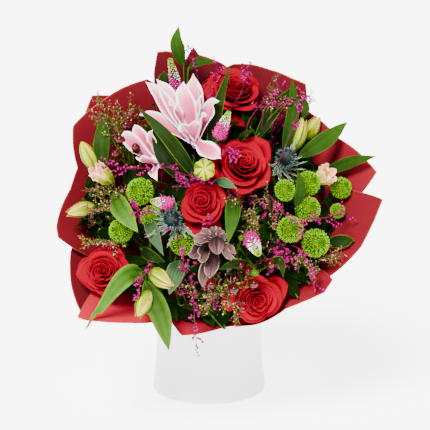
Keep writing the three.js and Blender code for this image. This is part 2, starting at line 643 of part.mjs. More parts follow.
const LILY_LEAVES = [[[-11, -24, 196], [-41, 2, 232], [-73, 38, 238], 15],
  [[-22, -20, 186], [-49, 6, 200], [-58, 64, 206], 15],
  [[6, -8, 182], [7, 42, 208], [23, 95, 236], 14]];
const BERRY_SPRAYS = {
  hypericum_left: { join: [-80, 22, 140], berries: [[-86, 48, 190, 5], [-71, 60, 193, 4.3],
    [-92, 27, 194, 5.2],
    [-96, 12, 190, 5.2], [-76, 16, 196, 4.6], [-81, 62, 178, 4.4]] },
  hypericum_front: { join: [34, -112, 112], berries: [[3, -124, 152, 5.6], [33, -106, 160, 4.6],
    [42, -112, 158, 5.5],
    [26, -133, 158, 5.5], [46, -124, 166, 5], [64, -104, 158, 5], [28, -114, 147, 4.4]] },
};
// Sprays: twigs from the joint through the listed places.
const LIMONIUMS = {
  limonium_top: { join: [-4, 66, 165], twigs: [[[-6, 51, 216], [-14, 130, 192], [-27, 152, 204]],
    [[4, 60, 214], [6, 108, 190], [9, 131, 203]],
    [[33, 58, 232], [36, 108, 206], [41, 121, 203]]] },
  limonium_right_top: { join: [62, 26, 150], twigs: [[[40, 30, 206], [57, 60, 216], [84, 112, 180]],
    [[58, 52, 210], [74, 64, 206], [88, 74, 192]],
    [[72, -8, 202], [88, 24, 224], [104, 88, 196]]] },
  limonium_right: { join: [80, -56, 125], twigs: [[[62, -46, 198], [76, -70, 204], [100, -80, 186]],
    [[96, -60, 170], [122, -54, 170], [145, -38, 152]],
    [[91, -84, 160], [103, -100, 152], [112, -112, 131]]] },
  limonium_left: { join: [-56, -18, 148], twigs: [[[-60, -16, 200], [-83, -16, 204], [-105, -4, 196]],
    [[-46, -16, 204], [-29, -28, 214], [-12, -37, 217]],
    [[-56, -50, 176], [-70, -58, 190], [-77, -54, 192]]] },
  limonium_front: { join: [-26, -112, 112], twigs: [[[-58, -102, 152], [-67, -121, 160],
    [-73, -137, 148]], [[-28, -120, 146], [-21, -112, 170], [-9, -97, 184]],
    [[-16, -128, 140], [-14, -154, 136], [-12, -180, 118]]] },
};
const WAXFLOWERS = {
  waxflower_left_top: { join: [-92, 36, 132], twigs: [[[-92, 38, 180], [-108, 66, 186],
    [-122, 88, 182]], [[-98, 34, 172], [-110, 58, 182], [-120, 78, 172]]] },
  waxflower_left: { join: [-98, -44, 108], twigs: [[[-92, -40, 172], [-106, -32, 182],
    [-118, -23, 176]], [[-98, -46, 164], [-110, -46, 172], [-126, -44, 164]],
    [[-92, -74, 152], [-113, -74, 158], [-128, -73, 150]]] },
  waxflower_top: { join: [54, 62, 150], twigs: [[[57, 56, 200], [64, 76, 204], [73, 111, 190]],
    [[62, 50, 196], [78, 66, 202], [99, 102, 172]],
    [[72, 74, 178], [96, 86, 174], [111, 92, 172]]] },
  waxflower_right: { join: [80, -82, 108], twigs: [[[55, -90, 160], [49, -77, 186], [43, -60, 198]],
    [[88, -90, 148], [98, -99, 154], [109, -103, 142]],
    [[110, -84, 128], [126, -82, 140], [137, -83, 135]]] },
  waxflower_front: { join: [14, -118, 104], twigs: [[[16, -126, 138], [6, -138, 146],
    [-1, -143, 142]], [[20, -128, 134], [23, -141, 142], [28, -150, 132]]] },
};

// ---------------------------------------------------------------- plants made from the tables
/** Leaves given as [root, middle, tip, width] on stalks from a stem. */
function putLeaves(node, leaves, line, first = 0, options = {}) {
  const leftOut = [];
  leaves.forEach(([root, middle, tip, width], k) => {
    const from = joint(line, first + k);
    const placed = NUDGES.some((move) => {
      const start = at(nudged(root, move, 0.5));
      const stalk = clearStalk(node, from, start, at(middle).sub(start).normalize(), 1.0);
      const facing = faceWay((root[0] + tip[0]) / 2, (root[1] + tip[1]) / 2);
      const leaf = blade([start, at(nudged(middle, move)), at(nudged(tip, move))], width, facing, options);
      if (!stalk || !isClear(solidOf(leaf), node)) return false;
      put(node, stalk);
      put(node, leaf);
      return true;
    });
    if (!placed) leftOut.push(tip);
  });
  return leftOut;
}

/** Point along a stem's stations, from 0 at the tie to 1 at its end. */
function alongStem(line, t) {
  const above = line.slice(2);
  const i = Math.min(above.length - 2, Math.floor(t * (above.length - 1)));
  return above[i].clone().lerp(above[i + 1], t * (above.length - 1) - i);
}

/** Where the k-th side branch leaves a stem: one below the other, down from its end. */
const joint = (line, k) => alongStem(line, 1 - 0.015 - 0.05 * k);

function buildMumSpray(node, { join, heads }) {
  const line = putStem(node, join, 2.4, MUM_GREEN, { sides: 4, loose: true });
  const missed = [];
  heads.forEach(([u, v, w, r], k) => {
    const placed = NUDGES.some((move) => {
      const way = faceWay(u, v);
      const centre = at(nudged([u, v, w], move));
      const foot = centre.clone().addScaledVector(way, -r * 0.72);
      const head = floretHead(centre, way, r, r * 0.82);
      const stalk = clearStalk(node, joint(line, k), foot, way, 1.4);
      if (!stalk || !isClear(solidOf(head), node)) return false;
      put(node, head);
      put(node, stalk);
      return true;
    });
    if (!placed) missed.push([u, v, w]);
  });
  return missed;
}

function buildThistle(index, { centre: [u, v, w], radius, bracts }) {
  const way = faceWay(u, v);
  const centre = at([u, v, w]);
  const head = floretHead(centre, way, radius, radius * 1.25, { cols: 8, rows: 6, relief: 0.2 });
  put(`thistle_head_${index}`, head, THISTLE_BLUE);
  const seat = centre.clone().addScaledVector(way, -radius * 1.25 * 1.17 - GAP);
  const node = `thistle_stem_${index}`;
  putStem(node, uvwOf(seat.clone().addScaledVector(way, -7)), 1.8, GREY_GREEN);
  const below = (depth) => seat.clone().addScaledVector(way, -depth);
  put(node, loft([circle(below(8.5), way, 1.3, 6), circle(below(2.5), way, 3.4, 6),
    circle(seat, way, 2.6, 6)]));
  const [x, y] = crossAxes(way);
  const random = seeded(90 + index);
  for (let k = 0; k < bracts; k++) {
    const a = (2 * Math.PI * (k + 0.3 * random())) / bracts;
    const reach = 18 + 11 * random();
    const out = x.clone().multiplyScalar(Math.cos(a)).addScaledVector(y, Math.sin(a));
    const root = below(4).addScaledVector(out, 0.8);
    putWhereClear(node, [0.45, 0.7, 0.2, 0.95, 0, 1.3].map((rise) => () => {
      const middle = root.clone().addScaledVector(out, reach * 0.5).addScaledVector(way, reach * rise * 0.3);
      const tip = root.clone().addScaledVector(out, reach).addScaledVector(way, reach * rise);
      return blade([root, middle, tip], 4, way, { steps: 2, fold: 0.1 });
    }));
  }
}

function buildVeronicaSpike(node, { base, tip, radius }) {
  const root = at(base);
  const end = at(tip);
  const way = new THREE.Vector3().subVectors(end, root).normalize();
  const rows = 8;
  const rings = Array.from({ length: rows }, (_, i) => {
    const t = i / (rows - 1);
    const r = radius * (0.45 + 0.55 * Math.sin(Math.PI * Math.min(1, 0.25 + t * 0.62))) * (1 - 0.35 * t);
    const centre = root.clone().lerp(end, 0.03 + 0.92 * t);
    return circle(centre, way, r, 6).map((p, k) => p.lerp(centre, (i + k) % 2 === 0 ? -0.16 : 0.1));
  });
  put(node, loft([[root.clone()], ...rings, [end.clone()]], true), SPIKE_PINK);
}

function buildVeronicaStem(node, { base, tip }) {
  const root = at(base);
  const way = new THREE.Vector3().subVectors(at(tip), root).normalize();
  const under = root.clone().addScaledVector(way, -14);
  const line = putStem(node, uvwOf(under), 1.5, SPIKE_PINK);
  put(node, rod([line.at(-1).clone().addScaledVector(way, -1), root.clone().addScaledVector(way, 3)],
    [1.4, 1.5], 3));
}

function buildAlstroemeria(node, { join, buds, leaves }) {
  const line = putStem(node, join, 2.3, BUD_CREAM, { sides: 4, loose: true });
  const missed = [];
  buds.forEach(([root, tip, r], k) => {
    const placed = NUDGES.some((move) => {
      const [start, end] = [at(nudged(root, move)), at(nudged(tip, move))];
      const bud = spindle(start, end, [r * 0.88, r * 0.9], 6);
      const stalk = clearStalk(node, joint(line, k), start, end.clone().sub(start).normalize(), 1.3);
      if (!stalk || !isClear(solidOf(bud), node)) return false;
      put(node, bud);
      put(node, stalk);
      return true;
    });
    if (!placed) missed.push(tip);
  });
  return [...missed, ...putLeaves(node, leaves, line, buds.length)];
}

function buildBerrySpray(node, { join, berries }) {
  const line = putStem(node, join, 2.0, BERRY_RED, { loose: true });
  const missed = [];
  berries.forEach(([u, v, w, r], k) => {
    const placed = NUDGES.some((move) => {
      const way = faceWay(u, v);
      const centre = at(nudged([u, v, w], move));
      const foot = centre.clone().addScaledVector(way, -r);
      const crown = centre.clone().addScaledVector(way, r * 1.25);
      const berry = spindle(centre.clone().addScaledVector(way, -r * 1.1), crown, [r * 0.88, r * 0.92], 6);
      const stalk = clearStalk(node, joint(line, k), foot, way, 0.9);
      if (!stalk || !isClear(solidOf(berry), node)) return false;
      put(node, berry);
      put(node, stalk);
      return true;
    });
    if (!placed) missed.push([u, v, w]);
  });
  return missed;
}

/** Points of a twig whose outer half swells into a floret at every other station, turn by turn. */
function beadedTwig(curve, { beads, bead, stem }) {
  const bare = [0, 0.3, 0.5].map((t) => ({ p: curve.getPoint(t), r: stem }));
  const stations = Array.from({ length: 2 * beads }, (_, i) => {
    const t = 0.56 + (0.44 * i) / (2 * beads - 1);
    const p = curve.getPoint(t);
    if (i % 2) return { p, r: stem * 0.9 };
    const [x, y] = crossAxes(curve.getTangent(t));
    const [swing, turn] = [0.6 * bead, i * 1.2];
    p.addScaledVector(x, swing * Math.cos(turn)).addScaledVector(y, swing * Math.sin(turn));
    return { p, r: bead };
  });
  const all = [...bare, ...stations];
  return rod(all.map(({ p }) => p), all.map(({ r }) => r));
}

/** A spray of thin twigs, each beaded with florets. */
function buildSpray(node, { join, twigs }, colour, floret) {
  const line = putStem(node, join, 1.5, colour, { loose: true });
  const missed = [];
  twigs.forEach((places, k) => {
    const placed = SPRAY_MOVES.some(([ends, middles]) => {
      const last = places.length - 1;
      const points = places.map((p, i) => at(nudged(p, i === last ? ends : middles)));
      const twig = beadedTwig(new THREE.CatmullRomCurve3([joint(line, k), ...points]), floret);
      if (!isClear(solidOf(twig), node, 0.3)) return false;
      put(node, twig);
      return true;
    });
    if (!placed) missed.push(places.at(-1));
  });
  return missed;
}

// ---------------------------------------------------------------- the whole bouquet
buildVase();
buildWater();
buildPaper();
buildTie();
ROSES.forEach((rose, i) => buildRoseBloom(`rose_bloom_${i + 1}`, rose));
const missing = [];
const lilies = LILIES.map(({ base, petals }, i) => (
  buildStar(`lily_bloom_${i + 1}`, base, petals, LILY_PINK, 3)));
const orchid = buildStar('orchid_bloom', ORCHID.base, ORCHID.petals, ORCHID_MAUVE, 0);
put('orchid_bloom', spindle(at(ORCHID.lip[0]), at(ORCHID.lip[1]), [8, 9.5, 6.5], 7));
VERONICAS.forEach((spike, i) => buildVeronicaSpike(`veronica_${i + 1}`, spike));
ROSES.forEach((rose, i) => buildRoseStem(`rose_stem_${i + 1}`, rose));

const lilySeats = lilies.map(({ root, way }) => root.clone().addScaledVector(way, -7 - GAP));
const lilyTop = uvwOf(lilySeats[0].clone().addScaledVector(lilies[0].way, -16));
const lilyLine = putStem('lily_stem', lilyTop, 2.6, LEAF_GREEN, { sides: 4 });
lilySeats.forEach((seat, i) => {
  const below = seat.clone().addScaledVector(lilies[i].way, -12);
  put('lily_stem', rod([i === 0 ? lilyLine.at(-1) : alongStem(lilyLine, 0.8), below, seat],
    [2.2, 2.0, 2.1], 4));
});
const orchidSeat = at(ORCHID.base).addScaledVector(orchid.way, -7 - GAP);
const orchidTop = uvwOf(orchidSeat.clone().addScaledVector(orchid.way, -12));
const orchidLine = putStem('orchid_stem', orchidTop, 2.0, LEAF_GREEN);
put('orchid_stem', rod([orchidLine.at(-1).clone().addScaledVector(orchid.way, -1), orchidSeat],
  [1.8, 2.0], 4));

THISTLES.forEach((thistle, i) => buildThistle(i + 1, thistle));
Object.entries(MUM_SPRAYS).forEach(([node, spray]) => missing.push(...buildMumSpray(node, spray)));
VERONICAS.forEach((spike, i) => buildVeronicaStem(`veronica_${i + 1}`, spike));
Object.entries(ALSTROEMERIAS).forEach(([node, plant]) => missing.push(...buildAlstroemeria(node, plant)));
missing.push(...putLeaves('lily_stem', LILY_LEAVES, lilyLine, 1, { steps: 5 }));
Object.entries(BERRY_SPRAYS).forEach(([node, spray]) => missing.push(...buildBerrySpray(node, spray)));
Object.entries(FOLIAGE).forEach(([node, { join, leaves }]) => {
  const line = putStem(node, join, 1.8, DARK_GREEN, { loose: true });
  missing.push(...putLeaves(node, leaves, line));
});
const LIMONIUM_FLORET = { beads: 4, bead: 1.7, stem: 0.8 };
const WAX_FLORET = { beads: 4, bead: 2.3, stem: 0.8 };
Object.entries(LIMONIUMS).forEach(([node, spray]) => {
  missing.push(...buildSpray(node, spray, SPRAY_MAGENTA, LIMONIUM_FLORET));
});
Object.entries(WAXFLOWERS).forEach(([node, spray]) => {
  missing.push(...buildSpray(node, spray, HEATHER_PINK, WAX_FLORET));
});
if (missing.length) throw new Error(`no clear place for ${JSON.stringify(missing)}`);

const bouquet = new THREE.Group();
for (const node of pieces.keys()) {
  const [r, g, b] = colours.get(node);
  const color = new THREE.Color(r, g, b);
  const material = new THREE.MeshStandardMaterial({ color, roughness: 0.6, metalness: 0 });
  const mesh = new THREE.Mesh(geometryOf(fuse(node)), material);
  mesh.name = node;
  bouquet.add(mesh);
}

export default bouquet;
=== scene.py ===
"""Looks of a mixed flower bouquet in dark red paper, standing in a plain white vase.

Sizes are in millimetres and become metres when a piece's mesh is made. The flowers are placed in the
bouquet's own frame (u, v, w): it starts at the tie, w runs along the bouquet's axis towards the blooms,
u to the right and v to the back edge of the dome.
"""

import itertools
import json
import logging
import math
from dataclasses import dataclass, field, replace
from enum import Enum

import bpy
import numpy as np
from mathutils import Matrix

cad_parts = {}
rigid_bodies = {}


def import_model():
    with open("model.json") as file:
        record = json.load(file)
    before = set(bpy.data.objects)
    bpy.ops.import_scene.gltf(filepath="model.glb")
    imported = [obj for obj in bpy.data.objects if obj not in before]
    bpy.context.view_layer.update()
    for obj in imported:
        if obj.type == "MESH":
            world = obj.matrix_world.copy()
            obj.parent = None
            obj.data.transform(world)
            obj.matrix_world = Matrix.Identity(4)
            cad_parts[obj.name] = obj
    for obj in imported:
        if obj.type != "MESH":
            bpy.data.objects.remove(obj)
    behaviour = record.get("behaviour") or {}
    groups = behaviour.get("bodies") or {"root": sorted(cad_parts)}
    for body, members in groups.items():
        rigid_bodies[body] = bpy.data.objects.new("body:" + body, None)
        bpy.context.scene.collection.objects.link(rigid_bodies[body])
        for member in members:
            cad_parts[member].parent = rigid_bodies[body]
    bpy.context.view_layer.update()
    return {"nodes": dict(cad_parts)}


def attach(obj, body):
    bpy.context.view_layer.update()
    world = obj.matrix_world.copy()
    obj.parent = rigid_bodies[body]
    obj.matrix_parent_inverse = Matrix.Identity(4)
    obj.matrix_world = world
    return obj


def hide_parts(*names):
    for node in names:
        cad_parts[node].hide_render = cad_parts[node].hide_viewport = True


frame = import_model()

log = logging.getLogger("bouquet")

MM = 0.001
TAU = 2 * math.pi
GOLDEN_ANGLE = 2.39996
Uvw = tuple[float, float, float]
Array = np.ndarray
Outline = tuple[tuple[float, float], ...]
Draws = np.random.Generator
Tree, Socket = bpy.types.NodeTree, bpy.types.NodeSocket


# ---------------------------------------------------------------- the bouquet's frame
TIE_AT = np.array((0.0, -10.0, 155.0))
LEAN = math.radians(42)
AXES = np.array(((1, 0, 0), (0, math.cos(LEAN), math.sin(LEAN)), (0, -math.sin(LEAN), math.cos(LEAN))))
DOME_TOP, DOME_SLOPE, DOME_CURVE = 210.0, 0.15, 330.0
# The front in the bouquet's frame; the camera's side and the picture's lower edge as directions of the part.
FRONT = (0.0, -0.54, 0.84)
TO_CAMERA, PICTURE_DOWN = np.array((0.0, -0.97, 0.26)), np.array((0.0, -0.26, -0.97))
# The cone of paper: its radius at the neck, its rim's height at the back and front, and how it flares.
PAPER_NECK, PAPER_BACK, PAPER_FRONT = 29.0, 192.0, 100.0
FLARE_START, FLARE_GAIN = 82.0, 94.0
# The cone's mean slope, which its layers lie square to: a share of the rim's height over a width.
CONE_RISE, CONE_RUN = 0.9, 100.0
# The room that leaves and twigs keep to the paper: at its neck, what more at its rim, and from what height.
NECK_ROOM, RIM_ROOM, ROOM_FROM_W = 1.5, 6.0, 12.0
# How far from the bouquet's axis small leaves and twigs fill the dome.
FILL_REACH, TWIG_REACH = 128.0, 132.0
# A direction that nothing here runs along; cross directions are found from it.
OFF_AXIS = np.array((0.31, 0.17, 0.93))


def unit(v: Array) -> Array:
    """Vectors scaled to a length of one."""
    v = np.asarray(v, float)
    return v / np.maximum(np.linalg.norm(v, axis=-1, keepdims=True), 1e-9)


def toward(uvw: Array) -> Array:
    """Direction of the bouquet's frame as a direction of the part."""
    return np.asarray(uvw, float) @ AXES


def at(uvw: Array) -> Array:
    """Point of the bouquet's frame as a point of the part, in millimetres."""
    return TIE_AT + toward(uvw)


def face_way(u: float, v: float) -> Array:
    """The way a bloom faces at (u, v): square to the bouquet's dome."""
    return unit(toward((2 * u / DOME_CURVE, 2 * v / DOME_CURVE - DOME_SLOPE, 1)))


def dome_height(u: float, v: float) -> float:
    """Height of the bouquet's dome at (u, v)."""
    return DOME_TOP + DOME_SLOPE * v - (u * u + v * v) / DOME_CURVE


def paper_flare(radius: Array) -> tuple[Array, Array]:
    """How high the paper cone stands at a radius, as a share of its rim's height, and that share's slope."""
    root = np.sqrt(FLARE_START**2 + 2 * FLARE_GAIN * (radius - PAPER_NECK))
    return (root - FLARE_START) / FLARE_GAIN, 1 / root


def rim_height(sine: Array) -> Array:
    """Height of the paper's rim on the side that has this sine of its angle, from the front to the back."""
    return (PAPER_BACK + PAPER_FRONT) / 2 + (PAPER_BACK - PAPER_FRONT) / 2 * sine


def tuck(points: Array) -> Array:
    """Points moved to the inner side of the paper, where a leaf or twig would pass through it.

    Args:
        points: points of the part, in millimetres.

    Returns:
        The points, those near the paper moved square to it.
    """
    uvw = (np.asarray(points, float) - TIE_AT) @ AXES.T
    radius = np.maximum(np.hypot(uvw[..., 0], uvw[..., 1]), 1e-6)
    rim = rim_height(uvw[..., 1] / radius)
    share, slope = paper_flare(np.maximum(radius, PAPER_NECK))
    slope = slope * rim
    reach = paper_reach(np.arctan2(uvw[..., 1], uvw[..., 0]))
    near = (uvw[..., 2] > ROOM_FROM_W) & (radius > PAPER_NECK) & (radius < reach + 1)
    room = NECK_ROOM + RIM_ROOM * np.clip(share, 0, 1)
    short = np.where(near, np.maximum(rim * share + room - uvw[..., 2], 0), 0) / (1 + slope**2)
    uvw[..., 2] += short
    uvw[..., :2] *= (1 - short * slope / radius)[..., None]
    return at(uvw)


def cross_axes(way: Array) -> tuple[Array, Array]:
    """Two directions square to a third, or to each of many."""
    x = unit(np.cross(OFF_AXIS, way))
    return x, np.cross(way, x)


def around(x: Array, y: Array, angle: Array | float) -> Array:
    """Directions at some angles in the plane of x and y."""
    return np.cos(angle)[..., None] * x + np.sin(angle)[..., None] * y


def spokes(x: Array, y: Array, count: int, start: float = 0.0) -> Array:
    """Directions spread evenly in the plane of x and y."""
    return around(x, y, start + TAU * np.arange(count) / count)


def spiral(x: Array, y: Array, way: Array, count: int, cover: float) -> tuple[Array, ...]:
    """Directions spread evenly over the part of a ball that faces one way.

    Args:
        x: a direction square to the way.
        y: a direction square to both.
        way: the way that the ball faces.
        count: how many directions to give back.
        cover: how much of the ball is covered, up to 2 for all of it.

    Returns:
        Their angles round the way and off it, their parts square to it, and the directions.
    """
    k = np.arange(count)
    polar = np.arccos(1 - cover * (k + 0.5) / count)
    angle = k * GOLDEN_ANGLE
    flat = np.sin(polar)[:, None] * around(x, y, angle)
    return angle, polar, flat, flat + np.cos(polar)[:, None] * way


def smoothstep(x: Array, low: float, high: float) -> Array:
    """Smooth rise from 0 at low to 1 at high."""
    t = np.clip((np.asarray(x, float) - low) / (high - low), 0, 1)
    return t * t * (3 - 2 * t)


def smooth_line(points: Array, count: int) -> Array:
    """Points spread along a smooth curve through some points.

    Args:
        points: the places that the curve passes.
        count: how many points to give back.

    Returns:
        The points, as an array of count rows.
    """
    p = np.asarray(points, float)
    if len(p) == 2:
        return p[0] + np.linspace(0, 1, count)[:, None] * (p[1] - p[0])
    p = np.vstack((2 * p[0] - p[1], p, 2 * p[-1] - p[-2]))
    x = np.linspace(0, len(p) - 3, count)
    i = np.minimum(x.astype(int), len(p) - 4)
    t = (x - i)[:, None]
    a, b, c, d = p[i], p[i + 1], p[i + 2], p[i + 3]
    return 0.5 * (2 * b + (c - a) * t + (2 * a - 5 * b + 4 * c - d) * t**2 + (3 * b - a - 3 * c + d) * t**3)


# ---------------------------------------------------------------- finishes
def linear(code: str) -> tuple[float, float, float, float]:
    """An sRGB hex colour as linear red, green, blue and an alpha of 1."""
    parts = [int(code[i : i + 2], 16) / 255 for i in (1, 3, 5)]
    r, g, b = (c / 12.92 if c <= 0.04045 else ((c + 0.055) / 1.055) ** 2.4 for c in parts)
    return (r, g, b, 1.0)


def add_node(tree: Tree, kind: str, inputs: dict | None = None, stops: list | None = None,
             **settings: str) -> bpy.types.Node:
    """Adds a shader node.

    Args:
        tree: the material's nodes.
        kind: the node's type name.
        inputs: input name or number to a value, or to the output that feeds it.
        stops: a colour ramp's stops, as (place, hex colour).
        settings: the node's own settings.

    Returns:
        The new node.
    """
    node = tree.nodes.new(kind)
    for key, value in settings.items():
        setattr(node, key, value)
    for key, value in (inputs or {}).items():
        if isinstance(value, Socket):
            tree.links.new(value, node.inputs[key])
        else:
            node.inputs[key].default_value = value
    for k, (place, code) in enumerate(stops or []):
        element = node.color_ramp.elements[k] if k < 2 else node.color_ramp.elements.new(place)
        element.position, element.color = place, linear(code)
    return node


def calc(tree: Tree, operation: str, *values: object) -> Socket:
    """What a math node makes of some values."""
    return add_node(tree, "ShaderNodeMath", dict(enumerate(values)), operation=operation).outputs[0]


def remap(tree: Tree, *values: object, **settings: str) -> Socket:
    """A value moved to a new range: the value, its low and high, and what they become."""
    return add_node(tree, "ShaderNodeMapRange", dict(enumerate(values)), **settings).outputs[0]


def blended(tree: Tree, share: Socket, low: object, code: str) -> Socket:
    """A colour that turns into another one as the share rises."""
    return add_node(tree, "ShaderNodeMix", {0: share, 6: low, 7: linear(code)}, data_type="RGBA").outputs[2]


def noise(tree: Tree, size_mm: float, detail: float) -> Socket:
    """Noise whose clumps have about this size and stay with the piece."""
    place = add_node(tree, "ShaderNodeTexCoord").outputs["Object"]
    inputs = {"Vector": place, "Scale": 1 / (size_mm * MM), "Detail": detail}
    return add_node(tree, "ShaderNodeTexNoise", inputs).outputs[0]


def lightness(tree: Tree, tone_range: float) -> Socket:
    """How light a blade is against the next, from the attribute "tone" of its points."""
    tone = add_node(tree, "ShaderNodeAttribute", attribute_name="tone").outputs["Fac"]
    return calc(tree, "MULTIPLY_ADD", tone, tone_range, 1.0)


def feed(tree: Tree, colour: Socket, value: Socket, relief: Socket, strength: float, depth_mm: float,
         plain: dict[str, object]) -> None:
    """Feeds a material's shader.

    Args:
        tree: the material's nodes.
        colour: its colour.
        value: how light the colour is made.
        relief: the height of its fine relief.
        strength: how strong the relief is.
        depth_mm: how deep the relief is.
        plain: the shader's other inputs, by name.
    """
    shader = tree.nodes["Principled BSDF"]
    tinted = add_node(tree, "ShaderNodeHueSaturation", {"Value": value, "Color": colour})
    inputs = {"Strength": strength, "Distance": depth_mm * MM, "Height": relief}
    bump = add_node(tree, "ShaderNodeBump", inputs)
    tree.links.new(tinted.outputs[0], shader.inputs["Base Color"])
    tree.links.new(bump.outputs[0], shader.inputs["Normal"])
    for name, setting in plain.items():
        shader.inputs[name].default_value = setting


class Veins(Enum):
    """How the veins of a leaf or petal run."""

    NONE = "none"
    PARALLEL = "parallel"
    FEATHER = "feather"


_made: dict[str, bpy.types.Material] = {}


@dataclass(frozen=True)
class Finish:
    """What every finish has: a name, and a material that is made once."""

    name: str

    def material(self) -> bpy.types.Material:
        """The finish as a material."""
        if self.name not in _made:
            material = bpy.data.materials.new(self.name)
            material.use_nodes = True
            self.shade(material.node_tree)
            _made[self.name] = material
        return _made[self.name]

    def shade(self, tree: Tree) -> None:
        """Adds the nodes of the finish; each kind of finish has its own."""
        raise NotImplementedError


# The attribute "tone" also paints shade on some pieces: along the orchid pouch's slit and on the mums' inner
# balls.
@dataclass(frozen=True)
class Tissue(Finish):
    """Fresh plant tissue: petals, leaves, stalks and buds, coloured along and across each blade.

    The blade's UV map runs across it in U and from root to tip in V. The attribute "tone" makes each blade
    a little lighter or darker than the next, as in a real bunch.
    """

    root: str
    body: str
    tip: str
    margin: str
    vein: str = "#000000"
    veins: Veins = Veins.PARALLEL
    vein_count: float = 9.0
    vein_mix: float = 0.35
    vein_bump: float = 0.25
    margin_from: float = 0.82
    margin_mix: float = 0.6
    body_at: float = 0.45
    tip_at: float = 1.0
    rough: float = 0.5
    through: float = 0.04
    gloss: float = 0.12
    mottle_mm: float = 6.0
    mottle: float = 0.18
    tone_range: float = 0.28

    def shade(self, tree: Tree) -> None:
        """Adds the colours along and across the blade, the veins, the mottling and the grain."""
        uv = add_node(tree, "ShaderNodeUVMap", uv_map="UVMap").outputs[0]
        split = add_node(tree, "ShaderNodeSeparateXYZ", {0: uv})
        across, along = split.outputs[0], split.outputs[1]
        off = calc(tree, "ABSOLUTE", calc(tree, "SUBTRACT", across, 0.5))
        stops = [(0.0, self.root), (self.tip_at, self.tip), (self.body_at, self.body)]
        colour = add_node(tree, "ShaderNodeValToRGB", {0: along}, stops).outputs[0]
        edge = remap(tree, off, self.margin_from / 2, 0.5, 0.0, self.margin_mix,
                     interpolation_type="SMOOTHSTEP")
        colour = blended(tree, edge, colour, self.margin)
        relief = noise(tree, 1.1, 2.0)
        if self.veins is not Veins.NONE:
            run = across if self.veins is Veins.PARALLEL else calc(tree, "MULTIPLY_ADD", off, -0.9, along)
            wave = calc(tree, "COSINE", calc(tree, "MULTIPLY", run, TAU * self.vein_count))
            lines = remap(tree, wave, 0.1, 1.0, 0.0, self.vein_mix)
            rib = remap(tree, off, 0.0, 0.07, self.vein_mix * 1.6, 0.0)
            both = calc(tree, "MAXIMUM", lines, rib)
            colour = blended(tree, both, colour, self.vein)
            relief = calc(tree, "MULTIPLY_ADD", both, -3.0, relief)
        patch = remap(tree, noise(tree, self.mottle_mm, 3.0), 0.25, 0.75, 1 - self.mottle, 1 + self.mottle)
        value = calc(tree, "MULTIPLY", lightness(tree, self.tone_range), patch)
        feed(tree, colour, value, relief, self.vein_bump, 0.5, {
            "Roughness": self.rough, "Specular IOR Level": self.gloss, "Subsurface Weight": self.through,
            "Subsurface Radius": (0.9, 0.6, 0.4), "Subsurface Scale": 1.2 * MM})


@dataclass(frozen=True)
class Plain(Finish):
    """A finish that is alike all over but for its tone, with a cloudy colour and a fine grain: glaze, paper,
    stems, water; on the paper its tone is painted light and shade.
    """

    low: str
    high: str
    patch_mm: float = 20.0
    grain_mm: float = 0.8
    grain: float = 0.15
    rough: float = 0.6
    gloss: float = 0.12
    coat: float = 0.0
    coat_rough: float = 0.2
    see_through: float = 0.0
    ior: float = 1.5
    glow: float = 0.0
    tone_range: float = 0.25

    def shade(self, tree: Tree) -> None:
        """Adds the cloudy colour and the grain."""
        clouds = noise(tree, self.patch_mm, 3.0)
        stops = [(0.3, self.low), (0.7, self.high)]
        colour = add_node(tree, "ShaderNodeValToRGB", {0: clouds}, stops).outputs[0]
        grain = noise(tree, self.grain_mm, 4.0)
        feed(tree, colour, lightness(tree, self.tone_range), grain, self.grain, 0.2, {
            "Roughness": self.rough, "Specular IOR Level": self.gloss, "Emission Color": linear(self.high),
            "Emission Strength": self.glow, "Coat Weight": self.coat, "Coat Roughness": self.coat_rough,
            "Transmission Weight": self.see_through, "IOR": self.ior})


# Rose petal: velvety red cells, darkening to near black towards the root as painted shade in the folds; the
# paler margin is a painted highlight on the rolled lip.
ROSE_PETAL = Tissue("rose_petal_velvet", "#040000", "#1C0002", "#760014", "#8C0E22", "#50000A", vein_count=13,
    vein_mix=0.06, vein_bump=0.05, margin_from=0.93, margin_mix=0.4, body_at=0.38, tip_at=0.6, rough=0.7,
    through=0.0, gloss=0.0, mottle_mm=9, mottle=0.06, tone_range=0.2)
# Lily petal: waxy and pale pink, white along its margins, deeper along its middle rib.
LILY_PETAL = Tissue("lily_petal_wax", "#8C2444", "#D05A80", "#FFE6E4", "#FFFFFF", "#B83C68", vein_count=5,
    vein_mix=0.3, vein_bump=0.3, margin_from=0.5, margin_mix=0.8, body_at=0.5, rough=0.45, through=0.1,
    gloss=0.2, mottle=0.05, tone_range=0.08)
LILY_INSIDE = Tissue("lily_petal_inside", "#701038", "#C03C68", "#F0BCC8", "#FFF0F0", "#A82850", vein_count=6,
    vein_mix=0.3, vein_bump=0.2, margin_from=0.4, margin_mix=0.8, body_at=0.5, rough=0.45, through=0.1,
    gloss=0.1, mottle=0.04, tone_range=0.08)
# Orchid: dull brown-mauve tepals with fine dark veins and pale edges.
ORCHID_TEPAL = Tissue("orchid_tepal", "#120808", "#3A2425", "#6C4C48", "#BCA898", "#1A0D0C", vein_count=9,
    vein_mix=0.5, vein_bump=0.3, margin_from=0.88, margin_mix=0.85, rough=0.5, gloss=0.03, mottle=0.14)
# Button mum: lime green florets, paler at their blunt tips and near black at their feet, painted shade in the
# gaps between them.
MUM_FLORET = Tissue("mum_floret", "#0A2000", "#306400", "#80B000", "#80B000", veins=Veins.NONE, rough=0.6,
    mottle_mm=4, mottle=0.1, body_at=0.6, margin_mix=0.0, through=0.0, gloss=0.01)
